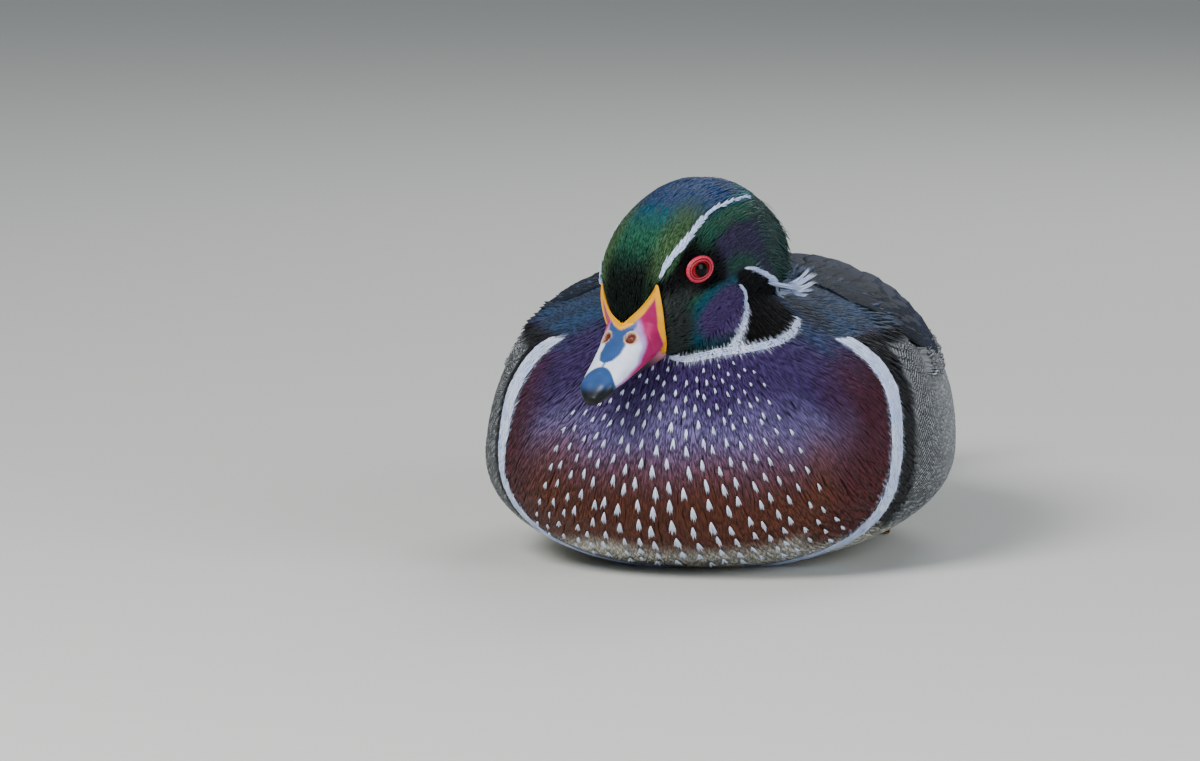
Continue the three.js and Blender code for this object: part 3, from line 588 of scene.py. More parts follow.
def paint_body(points):
    """Linear colours of the body's feathers at world places."""
    x, y, z = np.moveaxis(points, -1, 0)
    side = np.abs(x)
    noise = wobble(points, 34, 5)
    # Breast, chestnut at the water and violet at the neck, with maroon sides, and a lighter grey-violet band of
    # painted sheen between
    tone = mix(dye("breast_chestnut"), BREAST_WINE, smoothstep(30, 50, z + 4 * noise))
    tone = mix(tone, BREAST_PAINTED_SHEEN, smoothstep(42, 62, z + 5 * noise))
    tone = mix(tone, dye("breast_violet"), smoothstep(60, 80, z + 5 * noise + 0.15 * side))
    tone = mix(tone, BREAST_MAROON, 0.9 * smoothstep(48, 72, side + 4 * noise) * smoothstep(90, 62, z - 0.2 * side))
    # Slate mantle with soft patches of painted blue sheen towards the front, then the white bar with black behind it
    # and the grey flank
    slate = mix(MANTLE_SLATE, MANTLE_PAINTED_SHEEN, smoothstep(-1.2, 1.2, noise) * smoothstep(60, -30, y))
    tone = mix(tone, slate, mantle_share(points))
    front, rear, black = bar_edges(points)
    behind = smoothstep(0, 1.5, y - 0.5 * (front + rear)) * smoothstep(91, 88, z)
    tone = mix(tone, BAR_BLACK, behind)
    white = smoothstep(0.5, 2, y - front) * smoothstep(-0.5, -2, y - rear) * smoothstep(90, 88.5, z)
    tone = mix(tone, dye("white"), white)
    flank = smoothstep(-1.5, 1.5, y - rear - black) * smoothstep(87, 84, z - 0.06 * y)
    tone = mix(tone, dye("flank_grey"), flank)
    tone = mix(tone, BACK_BRONZE, smoothstep(10, 60, y) * smoothstep(88, 94, z))
    # White belly, dark rump and vent, and the black throat where the neck carries it
    tone = mix(tone, BELLY_WHITE, smoothstep(17, 8, z + 3 * noise) * smoothstep(-110, -96, y))
    rear_end = smoothstep(92, 108, y + 4 * noise)
    tail_end = mix(VENT_BROWN, RUMP_BLACK, smoothstep(55, 70, z))
    tail_end = mix(tail_end, RUMP_MAROON, bump(z, 62, 20) * bump(y, 114, 17))
    tone = mix(tone, tail_end, rear_end)
    tone = mix(tone, paint_head(points), in_throat(points))
    return mix(tone, dye("white"), white_share(SKULL.inside(points)))


def vermiculation(points):
    """How strongly the flank's fine wavy barring shows at world places."""
    _, y, z = np.moveaxis(points, -1, 0)
    _, rear, black = bar_edges(points)
    fade = 1 - 0.75 * smoothstep(25, 75, y - rear)
    return (fade * smoothstep(-1, 2, y - rear - black) * smoothstep(88, 84, z - 0.06 * y) * smoothstep(12, 22, z)
            * smoothstep(106, 92, y))


# Larger feathers

# Shares of a broad feather's length and of its half width at which its points lie, closest at the round tip
VANE_SHARES = np.array([0, 0.1, 0.26, 0.42, 0.56, 0.66, 0.7, 0.74, 0.78, 0.82, 0.86, 0.9, 0.94, 0.975, 1.0])
VANE_ACROSS = np.linspace(-1, 1, 7)
VANE_RING = len(VANE_ACROSS) + 1
# Side of a broad feather's square on its own OFBake picture
VANE_CELL = 0.04


def vane_profile(k):
    """Half width of a feather along its length as a share of its widest: narrow at the root, round at the tip."""
    rounded = np.sqrt(np.maximum(1 - ((k - 0.6) / 0.43) ** 2, 0))
    return np.where(k < 0.6, 0.45 + 0.55 * np.sin(math.pi / 2 * np.clip(k / 0.6, 0, 1)), rounded)


def vane_piece(name, middles, ups, half, tilt, paint, thick=0.5, camber=0.09):
    """One object of broad feathers. middles and ups are each one's middle line and normals, half its half width
    and tilt how far its left edge stands over its right. paint gives colours for shares along and across."""
    n, rows = len(middles), len(VANE_SHARES) - 1
    along = unit(np.gradient(middles, axis=1))
    side = unit(np.cross(along, ups))
    wide = np.asarray(half, float).reshape(-1, 1) * vane_profile(VANE_SHARES)
    k = np.broadcast_to(VANE_SHARES[None, :rows, None], (n, rows, VANE_RING))
    w = np.broadcast_to(np.append(VANE_ACROSS, 0.0)[None, None], (n, rows, VANE_RING))
    rise = camber * wide[:, :rows, None] * (1 - w**2) - np.asarray(tilt, float).reshape(-1, 1, 1) * w
    rise = rise + thick * (1 - w**4) + 0.22 * (np.abs(w) < 0.1)
    rise[..., -1] -= 1.6 * thick
    flat = middles[:, :rows, None] + side[:, :rows, None] * (wide[:, :rows, None] * w)[..., None]
    points = flat + ups[:, :rows, None] * rise[..., None]
    tips = middles[:, rows:] + ups[:, rows:] * (0.2 * thick)
    points = np.concatenate([points.reshape(n, rows * VANE_RING, 3), tips], axis=1)
    k = np.concatenate([k.reshape(n, -1), np.ones((n, 1))], 1)
    w = np.concatenate([w.reshape(n, -1), np.zeros((n, 1))], 1)
    points[..., 2] = np.maximum(points[..., 2], CLEAR)
    colours = paint(np.arange(n)[:, None], k, w)
    strand = np.stack([0.5 + w / 2, k], -1)
    columns = int(0.98 / VANE_CELL)
    corner = np.stack([np.arange(n) % columns, np.arange(n) // columns], -1)[:, None] * VANE_CELL + 0.01
    bake = corner + strand * VANE_CELL * 0.9
    quads, triangles = blade_faces(n, rows, VANE_RING)
    return new_mesh(name, points.reshape(-1, 3), quads, triangles, colours.reshape(-1, 3), bake.reshape(-1, 2),
                    strand.reshape(-1, 2), {"Pattern": np.zeros(n * (rows * VANE_RING + 1))})


def wing_edges(s):
    """Degrees above the side of a folded wing's lower and upper edge, at shares s from shoulder to tip."""
    low = WING_LOW + 30 * smoothstep(0.62, 1, s) + 14 * (1 - smoothstep(0, 0.14, s))
    return low, 86 - 14 * smoothstep(0.85, 1, s) - 8 * (1 - smoothstep(0, 0.1, s))


def wing_point(side, s, v, lift):
    """A place and normal over a folded wing: s from shoulder to tip, v from its lower edge to the back."""
    low, high = wing_edges(s)
    swell = SHOULDER * np.sin(math.pi * np.minimum(1.15 * np.maximum(v, 0), 1))
    raised = 0.4 + swell + 2.4 * smoothstep(0.7, 1, s) + lift * (0.3 + 0.7 * smoothstep(0, 0.35, v))
    place, normal = TRUNK.point(WING_FROM + (WING_TIP - WING_FROM) * s, np.radians(low + (high - low) * v),
                                raised)
    flip = np.array([side, 1, 1])
    return place * flip, normal * flip


# Feather rows of a wing from below up: count, first and last root, first and last tip as (s, v), half width,
# and the lift at root and tip.
WING_ROWS = (
    (9, (0.52, 0.22, 0.58, 0.50), (0.90, 0.34, 1.10, 0.60), 4.4, -1.0, 0.2, "primary"),
    (9, (0.40, 0.08, 0.48, 0.42), (0.70, 0.06, 0.84, 0.40), 5.6, -0.8, 0.7, "speculum"),
    (6, (0.42, 0.48, 0.46, 0.86), (0.86, 0.56, 0.94, 0.90), 7.4, -0.8, 1.2, "tertial"),
    (9, (0.30, 0.14, 0.34, 0.90), (0.50, 0.11, 0.58, 0.91), 7.2, -0.9, 1.2, "covert"),
    (10, (0.22, 0.15, 0.26, 0.88), (0.42, 0.13, 0.47, 0.90), 6.6, -0.9, 1.1, "covert"),
    (11, (0.14, 0.15, 0.17, 0.88), (0.33, 0.13, 0.36, 0.90), 6.2, -0.9, 1.0, "scapular"),
    (12, (0.08, 0.17, 0.10, 0.87), (0.26, 0.14, 0.28, 0.89), 5.8, -1.0, 0.9, "scapular"),
    (12, (0.03, 0.19, 0.05, 0.86), (0.19, 0.16, 0.21, 0.88), 5.4, -1.2, 0.7, "scapular"),
    (12, (-0.02, 0.22, 0.0, 0.85), (0.12, 0.18, 0.14, 0.87), 5.2, -2.2, 0.2, "scapular"),
)
# Colours of each kind of feather at its middle and along its edge; the scapulars' and coverts' slightly lighter
# edges are painted sheen
FEATHER_TONES = {
    "primary": (colour("22272d"), colour("66727a")),
    "speculum": (colour("132c58"), colour("10193a")),
    "tertial": (colour("12152a"), colour("0a0c12")),
    "covert": (colour("16213a"), colour("1c2430")),
    "scapular": (colour("161f2e"), colour("1d2530")),
}


# The tail's root, back from the origin and up, and how many degrees it rises
TAIL_BACK, TAIL_UP, TAIL_RISE = 150, 65, math.radians(12.0)


def tail_point(along, up):
    """Places on the tail's own slant from its root: along it and above it."""
    c, s = math.cos(TAIL_RISE), math.sin(TAIL_RISE)
    return TAIL_BACK + along * c - up * s, TAIL_UP + along * s + up * c


def tail_blades(specs):
    """Middle lines and normals of tail feathers (x at root, turn in degrees, from, to, height, droop share)."""
    x0, turn, start, stop, low, high = (np.array(v, float)[:, None] for v in zip(*specs))
    along = start + (stop - start) * VANE_SHARES
    x = x0 + (along - start) * np.tan(np.radians(turn))
    y, z = tail_point(along, low + (high - low) * VANE_SHARES)
    middles = np.stack([x, y, z - 0.022 * x * x], -1)
    ups = unit(np.stack([0.044 * x, np.full_like(x, -0.2), np.ones_like(x)], -1))
    return middles, ups


# The bill and face

BILL_UPPER = np.array([
    (-62.5, -24.2, -63, -20.4, 3, 0.4), (-58.5, -22, -59, -16.8, 6.2, 0.3), (-52, -21, -52.5, -14.6, 8.2, 0.2),
    (-44, -20.5, -44.5, -11.8, 9.2, 0.2), (-35, -20.5, -36, -8, 10.3, 0.25), (-26, -20.5, -28, -3, 11.4, 0.3),
    (-18, -19.5, -20, 2.5, 11, 0.35), (-10, -18, -12, 3, 10, 0.35),
], dtype=float)
BILL_LOWER = np.array([
    (-59.5, -24.8, -59.5, -22.6, 2.6, 0.6), (-56, -24.4, -56, -20.5, 5, 0.6), (-48, -23.8, -48, -19, 6.4, 0.6),
    (-36, -24.2, -36, -18.5, 7.6, 0.6), (-24, -25.6, -24, -18, 8.6, 0.6), (-12, -27, -12, -18, 8, 0.6),
], dtype=float)
UPPER = Surface(BILL_UPPER, 2.6, 2.6, HEAD_TURN, HEAD_PLACE)
LOWER = Surface(BILL_LOWER, 2.6, 2.6, HEAD_TURN, HEAD_PLACE)
# Where the feathers meet the bill, from the notch over the bill to the lobe's top and down to the gape.
BILL_EDGE = np.array([
    (0, -31.3, -5.4), (4.2, -30, -3), (8.1, -26.6, 0.6), (10.9, -22.9, 4), (12.1, -19.8, 7.2),
    (13, -21.8, 0.9), (12.5, -23.1, -9.1), (10.9, -22.1, -18.1), (8.8, -21, -21.7),
], dtype=float)
NOSTRIL = np.array([5.6, -35.8, -8.8])
# The blue of the ridge and nail is a painted reflection of the sky, and the white has a faint painted blue of sky
# light
BILL_LILAC, BILL_WHITE, BILL_SKY_REFLECTION = colour("ae8ed0"), colour("dce4f8"), colour("2c4c80")
JAW_PINK, JAW_DARK = colour("b06a78"), colour("1a1d22")
# The nostril's dark red is painted shade inside its shallow dent
BILL_NAIL, NOSTRIL_RIM, NOSTRIL_SHADE_RED = colour("0e1218"), colour("c9a890"), colour("5a2014")


def head_places(local):
    """Head-frame places as world places."""
    return np.asarray(local, float) @ HEAD_TURN.T + HEAD_PLACE


def resampled(points, spacing):
    """A polyline with points a spacing apart, with rounded corners."""
    points = np.asarray(points, float)
    for _ in range(2):
        quarter = points[:-1] * 0.75 + points[1:] * 0.25
        far = points[:-1] * 0.25 + points[1:] * 0.75
        points = np.concatenate([points[:1], np.stack([quarter, far], 1).reshape(-1, 3), points[-1:]])
    steps = np.append(0, np.cumsum(np.linalg.norm(np.diff(points, axis=0), axis=1)))
    marks = np.linspace(0, steps[-1], max(int(steps[-1] / spacing), 2) + 1)
    return np.stack([np.interp(marks, steps, points[:, i]) for i in range(3)], -1), marks


def on_bill(local):
    """Head-frame places that lie before the feather line, on the bare base of the bill."""
    side, back, up = np.abs(local[..., 0]), local[..., 1], local[..., 2]
    top = np.interp(side, [0, 4.2, 8.1, 10.9, 12.1], [-5.4, -3, 0.6, 4, 7.2])
    rear = np.interp(up, [-21.7, -18.1, -9.1, 0.9, 7.2], [-21, -22.1, -23.1, -21.8, -19.8])
    return (up < top) & (back < rear) & (up > -22) & (side < 14)


def paint_bill(points):
    """Linear colours of the upper bill at world places."""
    local = UPPER.inside(points)
    side, forward, up = np.abs(local[..., 0]), -local[..., 1], local[..., 2]
    edge, _ = resampled(BILL_EDGE, 0.5)
    flat = np.stack([side, -forward, up], -1).reshape(-1, 1, 3)
    gap = np.concatenate([np.linalg.norm(part - edge[None], axis=-1).min(axis=1)
                          for part in np.array_split(flat, max(len(flat) // 4000, 1))]).reshape(side.shape)
    noise = wobble(local, 9, 8)
    # Crimson side, bluish white middle, a painted blue reflection of the sky on the ridge and nail, nostrils
    # darkened inside as painted shade, and the yellow line round the base
    front = np.interp(up, [-20, -18.5, -17, -12.4, -8.7, -5], [60, 47, 40.3, 34.5, 33.4, 31])
    tone = mix(dye("bill_crimson"), BILL_LILAC, smoothstep(-2.6, 0, forward - front + 0.4 * noise))
    tone = mix(tone, BILL_WHITE, smoothstep(0, 2.6, forward - front + 0.4 * noise))
    patch = np.interp(forward, [30, 33, 36, 43, 47, 48.5], [6.4, 5.6, 4.7, 4.5, 2.8, 0])
    tone = mix(tone, BILL_SKY_REFLECTION, smoothstep(0.6, -0.3, side - patch + 0.25 * noise) * smoothstep(29.5, 30.5, forward))
    tone = mix(tone, BILL_LILAC, 0.7 * smoothstep(-18.8, -20, up) * smoothstep(30, 36, forward))
    nail = forward - 50 - 0.09 * side**2
    tone = mix(tone, BILL_SKY_REFLECTION, smoothstep(-0.3, 0.6, nail + 0.3 * noise))
    tone = mix(tone, BILL_NAIL, smoothstep(-16.2, -19.5, up + 0.3 * noise) * smoothstep(1, 3, nail))
    opening = np.linalg.norm((flat.reshape(*side.shape, 3) - NOSTRIL) / [2.2, 2.7, 2.2], axis=-1)
    tone = mix(tone, NOSTRIL_RIM, smoothstep(1.35, 1.15, opening))
    tone = mix(tone, NOSTRIL_SHADE_RED, smoothstep(1.05, 0.85, opening))
    return mix(tone, dye("bill_yellow"), smoothstep(2.5, 1.9, gap + 0.2 * noise))


def envelope(trees, local, centre_up):
    """The outermost places of solid forms seen from the head's long axis, through head-frame places."""
    axis = local * [0, 1, 0] + [0, 0, centre_up]
    way = unit(local - axis)
    start, towards = head_places(axis + way * 60), -(way @ HEAD_TURN.T)
    found = np.array(head_places(local))
    for i in range(len(local)):
        best = None
        for tree in trees:
            hit = tree.ray_cast(Vector(start[i]), Vector(towards[i]), 90)
            if hit[0] is not None and (best is None or hit[3] < best[3]):
                best = hit
        if best is not None:
            found[i] = best[0]
    return found, way @ HEAD_TURN.T


def shell_piece(name, outer, inner, paint):
    """A closed sheet between two grids of places, (rows, columns, 3) each, outer on the outside."""
    rows, columns = outer.shape[:2]
    layer = rows * columns
    top = grid_faces(rows, columns, False)
    i, j = np.arange(rows - 1), np.arange(columns - 1)
    rim = [np.stack([i * columns, i * columns + layer, (i + 1) * columns + layer, (i + 1) * columns], -1),
           np.stack([(i + 1) * columns - 1, (i + 2) * columns - 1, (i + 2) * columns - 1 + layer,
                     (i + 1) * columns - 1 + layer], -1),
           np.stack([j, j + 1, j + 1 + layer, j + layer], -1),
           np.stack([j + 1, j, j + layer, j + 1 + layer], -1) + [(rows - 1) * columns] * 4]
    points = np.concatenate([outer.reshape(-1, 3), inner.reshape(-1, 3)])
    quads = np.concatenate([top, top[:, ::-1] + layer] + rim)
    return outward(new_mesh(name, points, quads, colours=paint(points)))


def outward(obj):
    """Turns a closed mesh's faces so that they all look outwards, and gives the object back."""
    shape = bmesh.new()
    shape.from_mesh(obj.data)
    bmesh.ops.recalc_face_normals(shape, faces=shape.faces)
    if shape.calc_volume(signed=True) < 0:
        bmesh.ops.reverse_faces(shape, faces=shape.faces)
    shape.to_mesh(obj.data)
    shape.free()
    return obj


def tree_of(points, quads, triangles):
    """A mesh of arrays made ready for finding where lines meet it."""
    return BVHTree.FromPolygons(points.tolist(), quads.tolist() + triangles.tolist())


def tube_mesh(path, radii, ring=12, flat=1.0):
    """Points, quads and triangles of a closed tube along places with radii, flattened upright by flat."""
    path = np.asarray(path, float)
    along = unit(np.gradient(path, axis=0))
    side = unit(np.cross(along, np.tile([0, 0, 1.0], (len(path), 1))) + 1e-6)
    up = unit(np.cross(side, along))
    a = np.linspace(0, 2 * math.pi, ring, endpoint=False)[None, :, None]
    wide = np.asarray(radii, float)[:, None, None]
    points = path[:, None] + wide * (np.cos(a) * side[:, None] - flat * np.sin(a) * up[:, None])
    points, quads, triangles = closed_grid(points, path[[0, -1]])
    points[:, 2] = np.maximum(points[:, 2], 0.05)
    return points, quads, triangles


def joined(parts):
    """Several meshes of (points, quads, triangles) as one."""
    start, points, quads, triangles = 0, [], [], []
    for p, q, t in parts:
        points.append(p)
        quads.append(q + start)
        triangles.append(t + start)
        start += len(p)
    return np.concatenate(points), np.concatenate(quads), np.concatenate(triangles)


# Materials

def add_node(tree, kind, links=None, values=None, **settings):
    """Adds a shader node: settings are its properties, values fill its sockets and links feed them."""
    node = tree.nodes.new(kind)
    for name, value in settings.items():
        setattr(node, name, value)
    for name, value in (values or {}).items():
        node.inputs[name].default_value = value
    for name, source in (links or {}).items():
        tree.links.new(source, node.inputs[name])
    return node


def principled(name, **settings):
    """A new material and its shader, with plain values set straight on the shader."""
    material = bpy.data.materials.new(name)
    material.use_nodes = True
    shader = material.node_tree.nodes["Principled BSDF"]
    for socket, value in settings.items():
        shader.inputs[socket.replace("_", " ")].default_value = value
    return material, material.node_tree, shader


def in_millimetres(tree):
    """Object places in millimetres, so that a pattern's scale is one over its real size."""
    places = add_node(tree, "ShaderNodeTexCoord")
    return add_node(tree, "ShaderNodeVectorMath", {0: places.outputs["Object"]}, {"Scale": 1 / MM},
                    operation="SCALE").outputs[0]


def shaded(tree, tone, value, low, high, strength):
    """A tone made darker to lighter by strength while value runs from low to high."""
    light = add_node(tree, "ShaderNodeMapRange", {"Value": value}, {
        "From Min": low, "From Max": high, "To Min": 1 - strength, "To Max": 1 + strength})
    return add_node(tree, "ShaderNodeVectorMath", {0: tone, "Scale": light.outputs[0]},
                    operation="SCALE").outputs[0]


def clouded(tree, places, size, detail, strength):
    """The painted colour, broken by strength in soft clouds of a size in millimetres."""
    paint = add_node(tree, "ShaderNodeVertexColor", layer_name="Plumage")
    clouds = add_node(tree, "ShaderNodeTexNoise", {"Vector": places}, {"Scale": 1 / size, "Detail": detail})
    return shaded(tree, paint.outputs["Color"], clouds.outputs["Fac"], 0.3, 0.7, strength)


def relieved(tree, shader, height, strength, deep):
    """Gives a shader relief that is deep millimetres at its full height."""
    relief = add_node(tree, "ShaderNodeBump", {"Height": height}, {"Strength": strength, "Distance": deep * MM})
    tree.links.new(relief.outputs[0], shader.inputs["Normal"])


def barbs(tree, density, slant):
    """Height of fine barbs that slant from each feather's shaft: the sine of density times the share along it
    less slant times the share across from its shaft, from its own Strand map."""
    strand = add_node(tree, "ShaderNodeUVMap", uv_map="Strand")
    split = add_node(tree, "ShaderNodeSeparateXYZ", {"Vector": strand.outputs[0]})
    off = split.outputs[0]
    for operation, value in (("FRACT", 0.0), ("SUBTRACT", 0.5), ("ABSOLUTE", 0.0), ("MULTIPLY", -slant)):
        off = add_node(tree, "ShaderNodeMath", {0: off}, {1: value}, operation=operation).outputs[0]
    phase = add_node(tree, "ShaderNodeMath", {0: split.outputs[1], 2: off}, {1: density},
                     operation="MULTIPLY_ADD")
    return add_node(tree, "ShaderNodeMath", {0: phase.outputs[0]}, operation="SINE").outputs[0]


# Width of the soft clouds in the feathers' colour and in bare skin and horn, in millimetres
FEATHER_CLOUD, SKIN_CLOUD = 10 / 7, 50 / 11
# Height of a feather's barbs and of the grain of horn, in millimetres
BARB_HEIGHT, GRAIN_HEIGHT = 0.2, 0.3
# A wave texture of scale 1 repeats at this distance, and the flank's bars slant by so many degrees
WAVE_LENGTH = 0.1 * math.pi
BAR_SLANT = -28


def barred(tree, tone, places):
    """The flank's fine wavy dark lines over a tone, where the Pattern attribute asks for them."""
    slant = add_node(tree, "ShaderNodeMapping", {"Vector": places}, {
        "Rotation": (math.radians(BAR_SLANT), 0, 0)})
    lines = add_node(tree, "ShaderNodeTexWave", {"Vector": slant.outputs[0]}, {
        "Scale": WAVE_LENGTH * MM / sizes().bar_pitch, "Distortion": 2.6, "Detail": 2.0, "Detail Scale": 0.9},
        wave_type="BANDS", bands_direction="Z")
    crisp = add_node(tree, "ShaderNodeMapRange", {"Value": lines.outputs["Fac"]}, {
        "From Min": 0.35, "From Max": 0.65})
    pattern = add_node(tree, "ShaderNodeAttribute", attribute_name="Pattern")
    strength = add_node(tree, "ShaderNodeMath", {0: crisp.outputs[0], 1: pattern.outputs["Fac"]},
                        operation="MULTIPLY")
    return add_node(tree, "ShaderNodeMix", {"Factor": strength.outputs[0], 6: tone}, {7: (*FLANK_DARK, 1)},
                    data_type="RGBA").outputs[2]


def plumage(name, roughness, rows, slant, relief, mottle, metal=0.0, sheen=0.0, streak=0.05, bars=False):
    """Feathers: painted colour broken by soft clouds, with rows of barbs as relief and as faint streaks."""
    material, tree, shader = principled(name, Roughness=roughness, Metallic=metal, Sheen_Weight=sheen,
                                        Sheen_Roughness=0.4, Specular_IOR_Level=0.12)
    places = in_millimetres(tree)
    tone = clouded(tree, places, FEATHER_CLOUD, 3.0, mottle)
    ridges = barbs(tree, rows, slant)
    tone = shaded(tree, tone, ridges, -1.0, 1.0, streak)
    if bars:
        tone = barred(tree, tone, places)
    tree.links.new(tone, shader.inputs["Base Color"])
    relieved(tree, shader, ridges, relief, BARB_HEIGHT)
    return material


def horn(name, roughness, coat, grain, relief, mottle=0.12, coat_roughness=0.2, specular=0.5):
    """Bare horn or skin: painted colour, clouded a little, and roughened by grain of a size in millimetres."""
    material, tree, shader = principled(name, Roughness=roughness, Coat_Weight=coat,
                                        Coat_Roughness=coat_roughness, Specular_IOR_Level=specular)
    places = in_millimetres(tree)
    tree.links.new(clouded(tree, places, SKIN_CLOUD, 5.0, mottle), shader.inputs["Base Color"])
    pits = add_node(tree, "ShaderNodeTexNoise", {"Vector": places}, {"Scale": 1 / grain, "Detail": 4.0})
    relieved(tree, shader, pits.outputs["Fac"], relief, GRAIN_HEIGHT)
    return material


# The finishes by short names, once they are made
MATERIALS = {}


def make_materials():
    """The duck's finishes, from its plumage to its horn, eyes and skin."""
    MATERIALS.update(
        # Short stiff barbs with thin films in them: satin, and a touch of metal in the greens and purples
        head=plumage("Glossy head feathers", 0.48, 14, 6, 0.12, 0.08, metal=0.15),
        # Barbs without pigment that scatter all light: matt and clean
        white=plumage("White feathers", 0.7, 10, 4, 0.15, 0.03),
        # Dense contour feathers dressed with preen oil: half matt, with a faint soft rim of light
        body=plumage("Soft body feathers", 0.6, 20, 8, 0.15, 0.07, sheen=0.02),
        # Loose grey feathers crossed by fine dark waves: matt, and busy only close by
        flank=plumage("Barred flank feathers", 0.75, 30, 10, 0.1, 0.04, sheen=0.02, bars=True),
        # Stiff vanes of zipped barbs: combed streaks from the shaft, with a low sheen
        wing=plumage("Wing and tail feathers", 0.58, 240, 60, 0.5, 0.08, streak=0.16),
        # Fluffy down between the feathers: dull and soft, its colour painted darker than theirs as shade in the gaps
        skin=plumage("Down under the feathers", 0.9, 1, 1, 0.0, 0.2, sheen=0.3),
        # Hard keratin, worn smooth and damp: painted plates under a thin gloss
        bill=horn("Bill horn", 0.4, 0.12, 0.91, 0.1, specular=0.2),
        # The same keratin, wetter where it dips into water
        jaw=horn("Lower bill horn", 0.4, 0.25, 0.91, 0.15),
        # Swollen bare skin round the eye: moist, with fine pimples
        lid=horn("Eyelid skin", 0.42, 0.3, 0.625, 0.35),
        # Small leathery scales: dull, with a wet edge of light
        leg=horn("Leg and web skin", 0.5, 0.15, 0.77, 0.4),
        # Dense dark keratin: polished by wear
        claw=horn("Claw horn", 0.35, 0.3, 0.5, 0.1),
        # A wet clear dome over the iris: smooth, with one small bright reflection
        eye=horn("Eye", 0.3, 0.2, 0.33, 0.0, 0.05, 0.02, 0.04),
    )


# Pieces

# The finished skin, ready for finding the nearest places on it
SHARED = {}


def finish_piece(obj, material, slot, *nodes):
    """Gives a piece its finish, the body it rides on and the solids it takes the place of; slot is not used."""
    obj.data.materials.append(MATERIALS[material])
    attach(obj, "root")
    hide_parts(*nodes)


def gather(name, coat, material, slot, *nodes):
    """Builds a coat's objects and finishes each."""
    for obj in coat.build(name):
        finish_piece(obj, material, slot, *nodes)


def evenly(shade):
    """A painter that gives every place one shade."""
    return lambda points: np.broadcast_to(shade, points.shape)


# Depth of the skin under the body's and the head's surface, and the voxels that merge them, in millimetres
BODY_DEPTH, HEAD_DEPTH, VOXEL = 1.6, 1.0, 1.6


def make_skin():
    """One closed skin: trunk and head merged into voxels, and smoothed where they meet."""
    points, quads, triangles = joined([loft_mesh(TRUNK, -0.2, 15.2, 190, 110, -BODY_DEPTH),
                                       loft_mesh(SKULL, -0.1, 10.1, 110, 80, -HEAD_DEPTH)])
    points[:, 2] = np.maximum(points[:, 2], 0.6)
    obj = new_mesh("skin", points, quads, triangles)
    merge = obj.modifiers.new("Merge", "REMESH")
    merge.mode, merge.voxel_size, merge.use_smooth_shade = "VOXEL", VOXEL * MM, True
    relax = obj.modifiers.new("Relax", "SMOOTH")
    relax.factor, relax.iterations = 0.5, 3
    bpy.context.view_layer.update()
    solved = bpy.data.meshes.new_from_object(obj.evaluated_get(bpy.context.evaluated_depsgraph_get()))
    obj.modifiers.clear()
    obj.data = solved
    solved.name = "skin"
    count = len(solved.vertices)
    flat = np.empty(count * 3, np.float32)
    solved.vertices.foreach_get("co", flat)
    places = flat.reshape(-1, 3).astype(float) / MM
    # The skin takes the feathers' colours made darker by 0.8: painted shade in the gaps between feathers
    colours = np.where(on_head(places)[:, None], paint_head(places), paint_body(places)) * 0.8
    layer = solved.color_attributes.new(name="Plumage", type="FLOAT_COLOR", domain="POINT")
    layer.data.foreach_set("color", np.c_[colours, np.ones(count)].astype(np.float32).ravel())
    corners = np.empty(len(solved.loops), np.int32)
    solved.loops.foreach_get("vertex_index", corners)
    uv = skin_unwrap(places)
    for name in ("OFBake", "Strand"):
        solved.uv_layers.new(name=name).data.foreach_set("uv", uv[corners].astype(np.float32).ravel())
    finish_piece(obj, "skin", "body_feathers", "head", "neck", "torso")
    SHARED["skin"] = BVHTree.FromPolygons(places.tolist(), [list(p.vertices) for p in solved.polygons])


def buried(points, depth):
    """Whether places lie more than depth under the skin's surface."""
    tree, found = SHARED["skin"], np.zeros(len(points), bool)
    for i, place in enumerate(points):
        near, normal, _, far = tree.find_nearest(Vector(place), 40)
        if near is not None and far > depth:
            found[i] = (Vector(place) - near).dot(normal) < 0
    return found


def on_skin(points):
    """The skin's nearest places to world places, and its normals there."""
    hits = [SHARED["skin"].find_nearest(Vector(p)) for p in points.reshape(-1, 3)]
    return (np.array([hit[i] for hit in hits]).reshape(points.shape) for i in (0, 1))


def head_feathers():
    """Fine feathers of the head, smallest on the face, longer towards the crest and nape."""
    def spacing(t, a):
        return 0.72 + 0.035 * np.clip(t, 0, 10)

    def keep(t, a):
        places, _ = SKULL.point(t, a)
        local = SKULL.inside(places)
        return ~on_bill(local) & (eye_distance(local) > 6.2) & (t > 0.15)
    t, a = scatter(SKULL, 0.0, 9.9, spacing, 11, keep)
    places, _ = SKULL.point(t, a)
    open_air = ~buried(places, 3.0)
    t, a = t[open_air], a[open_air]
    top = np.maximum(np.sin(a), 0)
    length = np.interp(t, [0, 2, 4, 6, 8, 10], [3.0, 4.4, 6.5, 9, 12, 13])
    length = length * np.interp(top, [0, 1], [0.8, 1.15])
    near_eye = smoothstep(14, 6, eye_distance(SKULL.inside(places[open_air])))
    length = length * (1 - 0.6 * near_eye)
    turn = -0.35 * np.cos(a) * smoothstep(6, 2, t) * smoothstep(-0.2, -0.9, np.sin(a))
    middles, ups = lay(SKULL, t, a, length, 0.16, 0.42, 12, turn, 0.06)
    coat = Coat()
    coat.add(middles, ups, np.interp(t, [0, 3, 6, 10], [0.6, 0.74, 0.86, 0.95]), 0.09, paint_head, 13,
             scatter_tint=0.06)
    gather("head_feathers", coat, "head", "head_feathers", "head")


